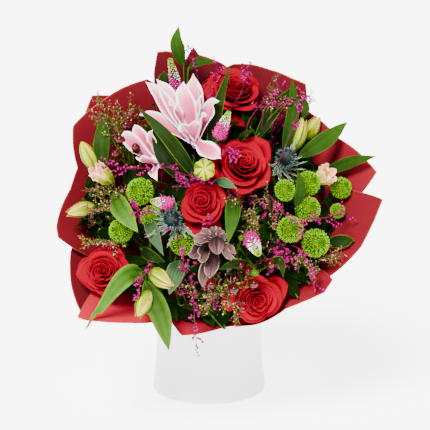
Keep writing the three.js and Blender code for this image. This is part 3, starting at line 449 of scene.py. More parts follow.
# Sea holly: steel blue cone, silvery bracts.
THISTLE_CORE = Tissue("thistle_core", "#010202", "#040706", "#283630", "#3A5060", veins=Veins.NONE, rough=0.6,
    mottle_mm=3, body_at=0.62)
THISTLE_BRACT = Tissue("thistle_bract", "#101A10", "#283A2A", "#4C6052", "#98A694", "#80927E", vein_count=1,
    vein_mix=0.5, vein_bump=0.3, margin_from=0.8, margin_mix=0.8, rough=0.55, gloss=0.03)
THISTLE_SPINE = Tissue("thistle_spine", "#2C4450", "#4C6672", "#8CA0A0", "#B8C4C4", veins=Veins.NONE)
# Speedwell spike: green buds at the tip, cream bells below, pink open florets at the foot; the cream and pink
# ones go near black towards their feet and middles, painted shade in the gaps between them.
SPIKE_CREAM = Tissue("veronica_cream", "#0A0602", "#6C5C44", "#F4E8D8", "#FFFFFF", veins=Veins.NONE)
SPIKE_GREEN = Tissue("veronica_green", "#284400", "#5C7C08", "#A0B42C", "#C0CC60", veins=Veins.NONE)
SPIKE_PINK = Tissue("veronica_pink", "#14000C", "#84044C", "#DC1890", "#E04CA8", veins=Veins.NONE)
# Peruvian lily buds: cream tepals with green ribs and blushed tips.
BUD_GREEN = Tissue("alstroemeria_bud", "#304C00", "#98980C", "#D0A048", "#D8CC64", "#486400", vein_count=3,
    vein_mix=0.85, vein_bump=0.25, margin_mix=0.5, margin_from=0.6, body_at=0.62, rough=0.4, gloss=0.06)
BUD_RIBBED = Tissue("alstroemeria_closed_bud", "#808C00", "#989C00", "#B0AC08", "#B0AC08", "#345C00",
    vein_count=6, vein_mix=1.0, vein_bump=0.25, margin_mix=0.0, body_at=0.6, rough=0.4, gloss=0.06,
    mottle=0.05)
BUD_CREAM = Tissue("alstroemeria_petal", "#706808", "#DCAC50", "#E89078", "#F4CCAC", "#A83828", vein_count=3,
    vein_mix=0.3, margin_from=0.7, margin_mix=0.5, body_at=0.5, rough=0.42, through=0.08, gloss=0.3)
# St John's wort berry: lacquered dark red skin.
BERRY_SKIN = Plain("hypericum_berry", "#220001", "#460407", patch_mm=5, rough=0.35, gloss=0.0, coat=0.5,
    coat_rough=0.05, grain=0.05)
BERRY_GREEN = Plain("hypericum_berry_unripe", "#243F02", "#3A5C04", patch_mm=7, rough=0.3, gloss=0.0,
    coat=0.12, coat_rough=0.03, grain=0.03)
# Statice: dry papery magenta florets on reddish twigs.
STATICE = Tissue("limonium_floret", "#28001A", "#6C003C", "#AC0C6C", "#C84090", veins=Veins.NONE, rough=0.7,
    tone_range=0.35, gloss=0.04)
STATICE_TWIG = Plain("limonium_twig", "#300816", "#5C0830", patch_mm=12, gloss=0.05)
# Wax flower: rosy buds with yellow tips among green needles.
WAX_BUD = Tissue("waxflower_bud", "#38041C", "#7C1040", "#D07094", "#D08098", veins=Veins.NONE, body_at=0.6,
    rough=0.5, tone_range=0.4, gloss=0.05)
WAX_TIP = Tissue("waxflower_pollen", "#3C3C00", "#8C8400", "#D8C84C", "#D8C84C", veins=Veins.NONE,
    body_at=0.6, rough=0.5, tone_range=0.4, gloss=0.05)
WAX_NEEDLE = Tissue("waxflower_needle", "#142800", "#243C04", "#40580E", "#446814", veins=Veins.NONE)
WAX_TWIG = Plain("waxflower_twig", "#283004", "#40480C", patch_mm=10, gloss=0.05)
# Leaves: satin upper skin with paler veins; each kind has its own green.
LEAF_DARK = Tissue("leaf_dark", "#081002", "#0C1803", "#142404", "#587810", "#1A2C08", vein_count=5,
    vein_mix=0.2, vein_bump=0.2, margin_from=0.88, margin_mix=0.6, rough=0.45, gloss=0.02, tone_range=0.35)
LEAF_MID = Tissue("leaf_mid", "#102204", "#182E07", "#243E0C", "#345410", "#2E4A12", vein_count=5,
    vein_mix=0.16, vein_bump=0.15, rough=0.5, gloss=0.02)
LEAF_LIGHT = Tissue("leaf_light", "#1A2E08", "#243E0B", "#3A5A18", "#54761E", "#4A6C26", vein_count=5,
    vein_mix=0.14, vein_bump=0.15, margin_from=0.5, margin_mix=0.5, rough=0.5, gloss=0.02)
LEAF_GREY = Tissue("leaf_grey", "#142010", "#20321A", "#30442C", "#4C6240", "#445A3A", vein_count=6,
    vein_mix=0.2, vein_bump=0.15, rough=0.55, gloss=0.02)
# The shade leaves fill the depths under the blooms; their near-black colour is painted shade.
LEAF_SHADE = Tissue("leaf_shade", "#040A01", "#081202", "#0E1E04", "#142806", "#142C08", veins=Veins.FEATHER,
    vein_count=9, vein_mix=0.25, rough=0.6, gloss=0.0, tone_range=0.5)
STEM_GREEN = Plain("stem_green", "#223A06", "#36540C", patch_mm=15, rough=0.5, gloss=0.05)
# Florist's paper: dyed right through, uncoated, with a faint fibre; its wide tone range carries painted light
# and shade.
PAPER_DEEP = Plain("paper_burgundy", "#560410", "#600613", patch_mm=60, grain_mm=0.9, grain=0.12, rough=0.75,
    gloss=0.1, tone_range=1.0)
# The cut edge is given a paler colour: a painted highlight along the rim.
PAPER_RIM_HIGHLIGHT = Plain("paper_cut_edge_painted_highlight", "#7C2018", "#943424", patch_mm=30, rough=0.8, tone_range=0.1)
# Vase: white glazed earthenware with a matt surface.
GLAZE = Plain("matt_white_glaze", "#F8F8F9", "#FAFAFB", patch_mm=80, grain_mm=1.6, grain=0.03, rough=0.5,
    gloss=0.3, tone_range=0.0)
WATER = Plain("still_water", "#E8F2F2", "#F2FAFA", rough=0.02, gloss=0.5, see_through=1.0, ior=1.33,
    grain=0.0, tone_range=0.0)
RAFFIA = Plain("raffia", "#8A6A38", "#B89C64", patch_mm=4, grain_mm=0.5, grain=0.4, rough=0.8)
# The studio's white light table glows, so that the ground stays white around the part.
FLOOR = Plain("studio_floor", "#FFFFFF", "#FFFFFF", grain=0.0, rough=0.9, glow=4.2, tone_range=0.0)


# ---------------------------------------------------------------- blades
@dataclass(frozen=True)
class BladeShape:
    """The cut of a leaf or petal."""

    widest: float = 0.45
    fullness: float = 0.85
    fold: float = 0.18
    wave: float = 0.0
    waves: float = 2.5
    twist: float = 0.0
    foot: float = 0.04
    rows: int = 16
    cols: int = 9
    thick: float = 0.4


ROSE_SEPAL = BladeShape(widest=0.25, wave=0.1, rows=10, cols=5, thick=0.5)
LILY_CUT = BladeShape(widest=0.46, fullness=1.05, fold=0.36, wave=0.12, waves=2.2, rows=24, cols=13, foot=0.5,
    thick=0.7)
ORCHID_CUT = BladeShape(widest=0.5, fullness=0.9, fold=0.3, wave=0.12, waves=1.6, rows=20, cols=11, foot=0.3,
    thick=0.7)
FRILL = BladeShape(widest=0.7, wave=0.55, waves=3.4, rows=18, cols=11, foot=0.4, fold=0.1)
MUM_LEAF = BladeShape(wave=0.25, waves=3, rows=10, cols=5, fullness=0.6)
BRACT = BladeShape(widest=0.3, fullness=0.75, fold=0.35, rows=31, cols=5, foot=0.4, thick=0.45)
HALF_OPEN = BladeShape(widest=0.66, wave=0.5, waves=2.6, fold=0.25, rows=18, cols=11, fullness=0.5, thick=0.5)
BUD_SCALE = BladeShape(widest=0.5, fold=-0.3, rows=14, cols=7, fullness=0.6, thick=0.5)
BERRY_SEPAL = BladeShape(rows=7, cols=5, fold=0.3)
FILLER_LEAF = BladeShape(wave=0.15, rows=10, cols=5, fullness=0.75)
STRAP = BladeShape(widest=0.4, fold=0.12, wave=0.1, rows=22, fullness=0.75)
BROAD = BladeShape(widest=0.45, fold=0.2, wave=0.14, rows=20, fullness=0.8)
TWISTED = BladeShape(widest=0.42, fold=0.15, wave=0.12, twist=1.3, rows=24, fullness=0.75)


def blade(places: list[Array], width: float, facing: Array, shape: BladeShape,
          phase: float = 0.0) -> Array:
    """A grid of points over a leaf or petal.

    Args:
        places: points of the part that its middle rib passes.
        width: its widest width.
        facing: the way its upper face looks.
        shape: its cut.
        phase: where its edge waves start.

    Returns:
        The grid, by row from root to tip and by column across.
    """
    line = smooth_line(places, shape.rows)
    s = np.linspace(0, 1, shape.rows)
    t = np.linspace(-1, 1, shape.cols)
    way = unit(np.gradient(line, axis=0))
    x = unit(np.cross(way, facing))
    up = np.cross(x, way)
    turn = shape.twist * (s - 0.3)
    c, q = np.cos(turn)[:, None], np.sin(turn)[:, None]
    x, up = x * c + up * q, up * c - x * q
    swell = np.sin(np.pi * s ** (math.log(0.5) / math.log(shape.widest))) * (1 - 0.45 * s**5)
    least = np.where(s < 0.5, shape.foot, 0.015)
    half = 0.5 * width * np.maximum(np.abs(swell) ** shape.fullness, least)[:, None]
    ripple = np.sin(TAU * shape.waves * s[:, None] + phase + np.where(t > 0, 2.1, 0))
    lift = shape.fold * np.abs(t) ** 1.4 + shape.wave * t**2 * ripple
    return line[:, None] + x[:, None] * (t * half)[..., None] + up[:, None] * (lift * half)[..., None]


# ---------------------------------------------------------------- skins and pieces
@dataclass
class Skin:
    """A closed surface: points in millimetres, its faces, and a UV place and tone for each point."""

    points: Array
    quads: Array
    tris: Array
    uv: Array
    tone: Array


def no_faces(sides: int) -> Array:
    """An empty list of faces with that many corners."""
    return np.zeros((0, sides), int)


def sheet(grid: Array, thick: float, tone: float = 0.0, tucked: bool = True) -> Skin:
    """A closed blade of even thickness over a grid of points.

    Args:
        grid: points by row, from root to tip, and column, across the blade.
        thick: the blade's thickness.
        tone: how light or dark the blade is, from -1 to 1.
        tucked: whether the blade is kept on the inner side of the paper.

    Returns:
        The skin, with U across the blade and V from root to tip.
    """
    rows, cols = grid.shape[:2]
    grid = tuck(grid) if tucked else grid
    normal = unit(np.cross(np.gradient(grid, axis=0), np.gradient(grid, axis=1)))
    lift = normal * thick / 2
    points = np.concatenate(((grid + lift).reshape(-1, 3), (grid - lift).reshape(-1, 3)))
    index = np.arange(rows * cols).reshape(rows, cols)
    back = rows * cols
    a, b, c, d = (index[:-1, :-1], index[1:, :-1], index[1:, 1:], index[:-1, 1:])
    front = np.stack((a, b, c, d), -1).reshape(-1, 4)
    rim = np.concatenate((index[0, :-1], index[:-1, -1], index[-1, :0:-1], index[:0:-1, 0]))
    after = np.roll(rim, -1)
    sides = np.stack((rim, after, after + back, rim + back), -1)
    s, t = np.meshgrid(np.linspace(0, 1, rows), np.linspace(0, 1, cols), indexing="ij")
    uv = np.tile(np.stack((t, s), -1).reshape(-1, 2), (2, 1))
    return Skin(points, np.concatenate((front, front[:, ::-1] + back, sides)), no_faces(3), uv,
                np.full(len(points), tone))


def rings(circles: Array, first: Array, last: Array, tone: float = 0.0) -> Skin:
    """A closed skin through circles of points, with a pole at each end."""
    count, sides = circles.shape[:2]
    points = np.concatenate((circles.reshape(-1, 3), [first, last]))
    index = np.arange(count * sides).reshape(count, sides)
    turned = np.roll(index, -1, axis=1)
    quads = np.stack((index[:-1], turned[:-1], turned[1:], index[1:]), -1).reshape(-1, 4)
    low, high = count * sides, count * sides + 1
    tris = np.concatenate((np.stack((turned[0], index[0], np.full(sides, low)), -1),
                           np.stack((index[-1], turned[-1], np.full(sides, high)), -1)))
    s, t = np.meshgrid(np.linspace(0, 1, count), np.arange(sides) / sides, indexing="ij")
    uv = np.concatenate((np.stack((t, s), -1).reshape(-1, 2), ((0.5, 0.0), (0.5, 1.0))))
    return Skin(points, quads, tris, uv, np.full(len(points), tone))


def tube(points: Array, radii: Array | float, sides: int) -> Skin:
    """A stem or twig along points, with a radius at each of them."""
    p = tuck(points)
    radii = np.broadcast_to(radii, len(p))
    way = unit(np.gradient(p, axis=0))
    aside = cross_axes(unit(p[-1] - p[0]))[0]
    y = unit(np.cross(way, aside))[:, None]
    x = np.cross(y, way[:, None])
    circles = p[:, None] + radii[:, None, None] * spokes(x, y, sides)
    return rings(circles, p[0] - way[0] * radii[0] * 0.3, p[-1] + way[-1] * radii[-1] * 0.3)


def copies(form: Skin, places: Array, ways: Array, sizes: Array, spins: Array, tones: Array) -> Skin:
    """Copies of one small form, each with its own mesh.

    Args:
        form: the form, standing on its foot along +Z, about 1 high.
        places: where each copy's foot is.
        ways: the way each copy points.
        sizes: each copy's size in its own X, Y and Z.
        spins: how far each copy is turned about its own axis.
        tones: each copy's tone.

    Returns:
        All the copies as one skin.
    """
    count = len(places)
    places = tuck(places)
    sizes = np.broadcast_to(sizes, (count, 3))
    ways = unit(ways)
    x, y = cross_axes(ways)
    c, s = np.cos(spins)[:, None], np.sin(spins)[:, None]
    x, y = x * c + y * s, y * c - x * s
    local = form.points[None] * sizes[:, None]
    points = (places[:, None] + local[..., :1] * x[:, None] + local[..., 1:2] * y[:, None]
              + local[..., 2:] * ways[:, None])
    step = (np.arange(count) * len(form.points))[:, None, None]
    return Skin(points.reshape(-1, 3), (form.quads[None] + step).reshape(-1, 4),
                (form.tris[None] + step).reshape(-1, 3), np.tile(form.uv, (count, 1)),
                np.repeat(np.broadcast_to(tones, count), len(form.points)))


def one(form: Skin, place: Array, way: Array, wide: float, tall: float, tone: float) -> Skin:
    """One copy of a form, with a girth, a height and a tone."""
    return copies(form, np.array([place]), np.array([way]), np.array([[wide, wide, tall]]), np.zeros(1),
                  np.array([tone]))


class Piece:
    """One named piece of the bouquet, made of skins that each have a finish."""

    def __init__(self, name: str) -> None:
        """Starts an empty piece."""
        self.name = name
        self.skins: list[tuple[Skin, bpy.types.Material]] = []

    def add(self, skin: Skin, finish: Finish) -> None:
        """Adds a skin with its finish."""
        self.skins.append((skin, finish.material()))

    def stalk(self, places: list[Array], count: int, radii: Array | float, sides: int = 6,
              finish: Finish = STEM_GREEN) -> None:
        """Adds a stalk along a smooth curve through some places."""
        self.add(tube(smooth_line(places, count), radii, sides), finish)

    def blade(self, places: list[Array], width: float, facing: Array, shape: BladeShape,
              finish: Finish, tone: float = 0.0, phase: float = 0.0) -> None:
        """Adds a leaf or petal.

        Args:
            places: points of the part that its middle rib passes.
            width: its widest width.
            facing: the way its upper face looks.
            shape: its cut.
            finish: its finish.
            tone: how light or dark it is.
            phase: where its edge waves start.
        """
        self.add(sheet(blade(places, width, facing, shape, phase), shape.thick, tone), finish)

    def build(self, slot: str, node: str = "") -> None:
        """Makes the piece's mesh and puts it in place of its CAD node.

        Args:
            slot: the record's material slot for the piece; not used.
            node: the CAD node that the piece stands for, where it has another name.
        """
        node = node or self.name
        materials = list(dict.fromkeys(material for _, material in self.skins))
        points = np.concatenate([s.points for s, _ in self.skins]) * MM
        uv = np.concatenate([s.uv for s, _ in self.skins])
        tone = np.concatenate([s.tone for s, _ in self.skins])
        corners, sizes, kinds, start = [], [], [], 0
        for skin, material in self.skins:
            for faces in (skin.quads, skin.tris):
                corners.append((faces + start).ravel())
                sizes.append(np.full(len(faces), faces.shape[1]))
                kinds.append(np.full(len(faces), materials.index(material)))
            start += len(skin.points)
        corners, sizes, kinds = (np.concatenate(x).astype(np.int32) for x in (corners, sizes, kinds))
        mesh = bpy.data.meshes.new(self.name)
        mesh.vertices.add(len(points))
        mesh.vertices.foreach_set("co", points.astype(np.float32).ravel())
        mesh.loops.add(len(corners))
        mesh.loops.foreach_set("vertex_index", corners)
        mesh.polygons.add(len(sizes))
        mesh.polygons.foreach_set("loop_start", np.concatenate(([0], np.cumsum(sizes)[:-1])).astype(np.int32))
        mesh.polygons.foreach_set("material_index", kinds)
        mesh.update(calc_edges=True)
        mesh.polygons.foreach_set("use_smooth", np.ones(len(sizes), bool))
        mesh.uv_layers.new(name="UVMap").data.foreach_set("uv", uv[corners].astype(np.float32).ravel())
        mesh.attributes.new("tone", "FLOAT", "POINT").data.foreach_set("value", tone.astype(np.float32))
        for material in materials:
            mesh.materials.append(material)
        mesh.validate()
        obj = bpy.data.objects.new(self.name, mesh)
        bpy.context.scene.collection.objects.link(obj)
        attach(obj, "root")
        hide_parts(node)
        log.info("%s: %d faces, stands for %s", self.name, len(sizes), node)


# ---------------------------------------------------------------- forms that repeat, modelled once
def deselect_all() -> None:
    """Leaves nothing selected, so that an operator acts on the new primitive only."""
    if bpy.context.object and bpy.context.object.mode != "OBJECT":
        bpy.ops.object.mode_set(mode="OBJECT")
    bpy.ops.object.select_all(action="DESELECT")


def taken() -> Skin:
    """The primitive just modelled as a skin, with V along its height; its object is removed."""
    bpy.ops.object.transform_apply(location=True, rotation=False, scale=False)
    obj = bpy.context.object
    mesh = obj.data
    points = np.array([v.co for v in mesh.vertices])
    quads = np.array([list(p.vertices) for p in mesh.polygons if len(p.vertices) == 4]).reshape(-1, 4)
    tris = np.array([list(p.vertices) for p in mesh.polygons if len(p.vertices) == 3]).reshape(-1, 3)
    low, high = points[:, 2].min(), points[:, 2].max()
    turn = np.arctan2(points[:, 1], points[:, 0]) / TAU + 0.5
    uv = np.stack((turn, (points[:, 2] - low) / (high - low)), -1)
    bpy.data.objects.remove(obj)
    bpy.data.meshes.remove(mesh)
    return Skin(points, quads.astype(int), tris.astype(int), uv, np.zeros(len(points)))


def modelled_bud(sides: int, levels: int, widest: float) -> Skin:
    """A bud or berry one high: a sphere primitive whose girth is moved up or down its height."""
    deselect_all()
    bpy.ops.mesh.primitive_uv_sphere_add(segments=sides, ring_count=levels, radius=0.5, location=(0, 0, 0.5))
    skin = taken()
    z = np.clip(skin.points[:, 2], 0, 1)
    skin.points[:, 2] = z ** (math.log(widest) / math.log(0.5))
    return skin


def modelled_cone(sides: int) -> Skin:
    """A spine one high: a cone primitive with a closed foot."""
    deselect_all()
    bpy.ops.mesh.primitive_cone_add(vertices=sides, radius1=0.5, radius2=0.04, depth=1, location=(0, 0, 0.5),
                                    end_fill_type="TRIFAN")
    return taken()


def modelled_star(petals: int, lift: float) -> Skin:
    """A tiny open flower: a sphere primitive, pulled in between its petals and spread to a flat cup."""
    deselect_all()
    bpy.ops.mesh.primitive_uv_sphere_add(segments=2 * petals, ring_count=4, radius=0.5, location=(0, 0, 0))
    skin = taken()
    x, y, z = skin.points.T
    reach = np.hypot(x, y)
    turn = np.arctan2(y, x)
    arm = 0.42 + 0.58 * np.abs(np.cos(petals * turn / 2))
    skin.points = np.stack((x * arm * 2, y * arm * 2, 0.28 * z + lift * (reach * arm * 2) ** 1.5), -1)
    skin.uv[:, 1] = np.clip(reach * arm * 2, 0, 1)
    return skin


# ---------------------------------------------------------------- stems
# How far above the table the stems end, how many share the bunch's round, in what steps they take its
# places, how many points each has, and the bunch's radius at the tie.
STEM_FOOT_Z = 7.0
STEM_COUNT, STEM_STRIDE, STEM_POINTS, BUNCH_RADIUS = 34, 13, 22, 23.5
_stems_laid = itertools.count()


def stem_route(end: Uvw) -> Array:
    """Points of the next stem, from the vase's floor through the tie to its end.

    Args:
        end: the stem's end in the bouquet's frame.

    Returns:
        The points, in millimetres.
    """
    k = next(_stems_laid)
    u, v, w = end
    reach = BUNCH_RADIUS * math.sqrt(((k * STEM_STRIDE) % STEM_COUNT + 0.5) / STEM_COUNT)
    angle = math.atan2(v, u) + 0.8 * math.sin(2.4 * k)
    x, y = reach * math.cos(angle), reach * math.sin(angle)
    tie = at((x, y, 0))
    low = np.array((1.06 * x, 20 + 1.06 * y, STEM_FOOT_Z))
    under = 0.25 * low + 0.5 * (tie - AXES[2] * 45) + 0.25 * tie
    above = [at((x + (u - x) * t**1.25, y + (v - y) * t**1.25, w * t)) for t in (0.33, 0.66, 1.0)]
    return smooth_line([low, under, tie, *above], STEM_POINTS)


def stem_to(point: Array) -> Array:
    """Points of the next stem, which ends at a point of the part."""
    return stem_route(tuple(AXES @ (point - TIE_AT)))


def on_route(route: Array, back: float) -> Array:
    """The point of a stem that lies some millimetres below its end."""
    lengths = np.concatenate(([0], np.cumsum(np.linalg.norm(np.diff(route[::-1], axis=0), axis=1))))
    return np.array([np.interp(back, lengths, route[::-1, i]) for i in range(3)])


# ---------------------------------------------------------------- roses
@dataclass(frozen=True)
class PetalRing:
    """One ring of rose petals: its outline in shares of the bloom's radius and how its lip rolls."""

    count: int
    outline: Outline
    span: float
    roll: float
    point: float = 0.0
    bend: float = 120.0


@dataclass
class Rose:
    """A red rose: a wound heart, rings of petals with rolled lips, calyx and stem."""

    number: int
    centre: Uvw
    radius: float
    turn: float
    tilt: tuple[float, float] = (0.0, 0.0)
    guards: tuple[tuple[float, float, float], ...] = ()
    swing: tuple[float, float] = (0.0, 0.0)
    rings: tuple[PetalRing, ...] = (
        PetalRing(2, ((0.03, 0.15), (0.08, 0.62), (0.09, 0.88), (0.110, 1.00)), 190, 0.008),
        PetalRing(3, ((0.04, 0.14), (0.12, 0.56), (0.145, 0.86), (0.195, 1.03)), 150, 0.009, 0.1),
        PetalRing(3, ((0.05, 0.12), (0.19, 0.52), (0.225, 0.85), (0.285, 1.03)), 145, 0.010, 0.2),
        PetalRing(3, ((0.06, 0.10), (0.26, 0.48), (0.305, 0.81), (0.375, 1.00)), 140, 0.011, 0.3),
        PetalRing(3, ((0.06, 0.08), (0.33, 0.44), (0.385, 0.76), (0.475, 0.95)), 138, 0.012, 0.4),
        PetalRing(3, ((0.07, 0.06), (0.38, 0.38), (0.460, 0.68), (0.590, 0.88)), 135, 0.014, 0.6, 130),
        PetalRing(3, ((0.08, 0.04), (0.43, 0.34), (0.600, 0.66), (0.840, 0.76)), 150, 0.016, 0.8, 120),
        PetalRing(4, ((0.08, 0.00), (0.50, 0.26), (0.760, 0.54), (1.060, 0.58)), 124, 0.018, 1.0, 120),
    )

    def downward(self) -> float:
        """The angle on the bloom's face that points down in the picture."""
        _, x, y, _ = self.axes()
        return math.atan2(np.dot(PICTURE_DOWN, y), np.dot(PICTURE_DOWN, x))

    def axes(self) -> tuple[Array, Array, Array, Array]:
        """The bloom's foot, its two cross directions and the way it faces."""
        way = unit(face_way(self.centre[0], self.centre[1]) + toward((self.tilt[0], self.tilt[1], 0)))
        x, y = cross_axes(way)
        return at(self.centre) - way * self.radius, x, y, way

    def place(self, reach: Array, angle: Array, height: Array) -> Array:
        """Points of the bloom from their reach, angle and height in shares of its radius."""
        foot, x, y, way = self.axes()
        turn, share = self.swing
        reach = reach * (1 + share * reach * np.cos(angle - self.downward() - math.radians(turn)))
        return foot + self.radius * (reach[..., None] * around(x, y, angle) + height[..., None] * way)

    def petal(self, ring: PetalRing, middle: float, random: Draws) -> Array:
        """A grid over one petal: cupped, pointed at its middle, its lip rolled back."""
        s = np.linspace(0.0, 1, 14)[:, None]
        t = np.linspace(-1, 1, 15)[None]
        side = np.abs(t)
        skew = side * (1 + 0.25 * random.uniform(-1, 1) * np.sign(t))
        top = (1 - (0.05 + 0.26 * ring.point) * skew ** (1.4 - 0.35 * ring.point) - 0.07 * side**8
               + 0.012 * np.sin(6 * t + random.uniform(0, 6)))
        sh = s * top
        line = smooth_line(ring.outline, 40)
        reach, height = (np.interp(sh, np.linspace(0, 1, 40), line[:, i]) for i in (0, 1))
        open_out = random.uniform(-0.1, 0.08) * ring.outline[-1][0]
        wobble = random.uniform(0, 6)
        reach = reach + (open_out + 0.06 * t + 0.02 * np.sin(4 * t + wobble)) * sh**1.5
        height = height + (random.uniform(-0.06, 0.06) + 0.035 * np.sin(3 * t + wobble)) * sh**2
        half = math.radians(ring.span / 2) * (0.55 + 0.45 * np.sin(0.5 * np.pi * np.minimum(s / 0.4, 1)))
        angle = middle + t * half
        slope = np.arctan2(line[-1, 0] - line[-6, 0], line[-1, 1] - line[-6, 1])
        roll = ring.roll * random.uniform(0.8, 1.3) * (1 - 0.45 * ring.point * (1 - side) ** 2)
        bends = slope + math.radians(ring.bend) * np.arange(1, 5)[:, None] / 4
        out = roll * (np.cos(slope) - np.cos(bends))
        rise = roll * (np.sin(bends) - np.sin(slope))
        return self.place(np.vstack((reach, reach[-1:] + out)), np.vstack((angle, *[angle[-1:]] * 4)),
                          np.vstack((height, height[-1:] + rise)))

    def heart(self) -> Array:
        """A grid over the wound strip in the bloom's middle."""
        turns = np.linspace(0, 1, 30)[None]
        s = np.linspace(0, 1, 9)[:, None]
        angle = self.turn + TAU * 1.3 * turns + 0 * s
        reach = 0.015 + 0.04 * turns**0.9 + 0.012 * s**5 + 0 * s
        height = 0.35 + (0.60 + 0.02 * np.sin(9 * turns)) * s
        return self.place(reach, angle, height)

    def build(self) -> None:
        """Makes the bloom and its stem."""
        random = np.random.default_rng(100 + self.number)
        bloom = Piece(f"rose_bloom_{self.number}")
        bloom.add(sheet(self.heart(), 0.6, -0.1), ROSE_PETAL)
        for level, ring in enumerate(self.rings):
            for k in range(ring.count):
                middle = self.turn + level * 0.95 + TAU * (k + random.uniform(-0.13, 0.13)) / ring.count
                bloom.add(sheet(self.petal(ring, middle, random), 0.4, random.uniform(-0.4, 0.4)), ROSE_PETAL)
        foot, x, y, way = self.axes()
        for turn, reach, height in self.guards:
            outline = ((0.1, 0.0), (0.6, 0.1 + 0.3 * height), (0.4 + 0.5 * reach, height), (reach, height))
            ring = PetalRing(1, outline, 62, 0.024, 1.0)
            guard = self.petal(ring, self.downward() + math.radians(turn), random)
            bloom.add(sheet(guard, 0.4, -0.3), ROSE_PETAL)
        share = np.linspace(0, 1, 6)[:, None]
        angle = np.arange(12) * TAU / 12 + 0 * share
        girth = np.interp(share, (0, 0.3, 1), (0.10, 0.2, 0.16))
        circles = self.place(girth + 0 * angle, angle, 0.02 + 0.3 * share + 0 * angle)
        bloom.add(rings(circles, foot, foot + way * 0.35 * self.radius), ROSE_PETAL)
        bloom.build("rose_red")

        stem = Piece(f"rose_stem_{self.number}")
        neck = foot - way * 9
        stem.add(tube(stem_to(neck), np.linspace(2.6, 2.2, STEM_POINTS), 8), STEM_GREEN)
        stem.stalk([neck - way * 3, neck, foot - way * 3, foot - way * 0.4], 8,
                   (1.9, 2.2, 3.0, 3.8, 4.4, 4.6, 4.4, 3.6), 10)
        for out in spokes(x, y, 5, self.turn):
            root = neck + way * 5 + out * 2.8
            stem.blade([root, root + out * 9 - way, root + out * 20 - way * 7], 6, way, ROSE_SEPAL, LEAF_MID)
        stem.build("stem_green")


# ---------------------------------------------------------------- lilies and orchid
@dataclass
class StarFlower:
    """A lily or orchid: long petals from one throat, each bowed on its way to its tip."""

    name: str
    base: Uvw
    petals: list[tuple[Uvw, float, float]]
    finish: Tissue
    slot: str
    shape: BladeShape
    to_front: float = 0.0
    inside: tuple[int, ...] = ()

    def build(self) -> tuple[Array, Array]:
        """Makes the flower.

        Returns:
            Where its stem meets it, and the way it faces.
        """
        root = at(self.base)
        way = unit(np.mean([at(tip) for tip, _, _ in self.petals], axis=0) - root)
        piece = Piece(self.name)
        piece.stalk([root - way * 7, root, root + way * 9], 7, (2.2, 3.0, 4.0, 4.4, 4.4, 3.6, 1.5), 10,
                    self.finish)
        for k, (tip, width, bow) in enumerate(self.petals):
            end = at(tip)
            out = end - root
            side = unit(out - way * np.dot(out, way))
            start = root + side * 3.0
            middle = start + 0.45 * (end - start) + side * bow * 0.5 + way * bow * 0.5
            near = start + 0.8 * (end - start) + side * bow * 0.1 + way * bow * 0.75
            facing = way - 0.6 * side + self.to_front * toward(FRONT)
            piece.blade([start, middle, near, end + side * 2.5], width, facing, self.shape,
                        LILY_INSIDE if k in self.inside else self.finish, 0.4 * math.sin(2.3 * k), 1.7 * k)
        self.dress(piece)
        piece.build(self.slot)
        return root, way

    def dress(self, piece: Piece) -> None:
        """Adds what stands in the flower's throat; a double flower has nothing there."""


@dataclass
class Orchid(StarFlower):
    """The brown-mauve orchid, whose lip is a creased pouch under a crinkled hood."""

    pouch_top: Uvw = (8, -88, 186)
    pouch_foot: Uvw = (10, -105, 179)
    pouch_radius: float = 8.6
    frills: tuple[tuple[Uvw, float], ...] = (((-15, -90, 184), 12), ((-9, -83, 186), 12), ((2, -78, 187), 12),
                                             ((14, -79, 187), 11), ((20, -87, 184), 9), ((29, -100, 172), 8),
                                             ((24, -108, 172), 8))

    def dress(self, piece: Piece) -> None:
        """Adds the pouch and the crinkled hood behind it."""
        top, foot = at(self.pouch_top), at(self.pouch_foot)
        x, y = cross_axes(unit(foot - top))
        seam = math.atan2(np.dot(TO_CAMERA, y), np.dot(TO_CAMERA, x))
        s = np.linspace(0.02, 0.98, 18)[:, None]
        angle = np.arange(48) * TAU / 48
        off = np.abs((angle - seam - 0.25 * (s - 0.5) + np.pi) % TAU - np.pi)
        slit = np.exp(-((off / 0.13) ** 2))
        groove = 1 - 0.3 * slit + 0.06 * np.exp(-(((off - 0.4) / 0.2) ** 2))
        girth = self.pouch_radius * np.sin(np.pi * s**0.8) ** 0.55 * groove
        circles = top + (foot - top) * s[..., None] + girth[..., None] * around(x, y, angle)
        pouch = rings(circles, top, foot, 0.9)
        # Painted shade: the pouch is made darker along its slit.
        pouch.tone[:-2] = (0.4 - 3.2 * slit).ravel()
        piece.add(pouch, self.finish)
        for k, (tip, width) in enumerate(self.frills):
            end = at(tip)
            middle = top * 0.5 + end * 0.5 + unit(TO_CAMERA) * 2.5
            piece.blade([top * 0.7 + foot * 0.3, middle, end], width, TO_CAMERA, FRILL, self.finish,
                        0.7 * (k % 2), 2.1 * k)


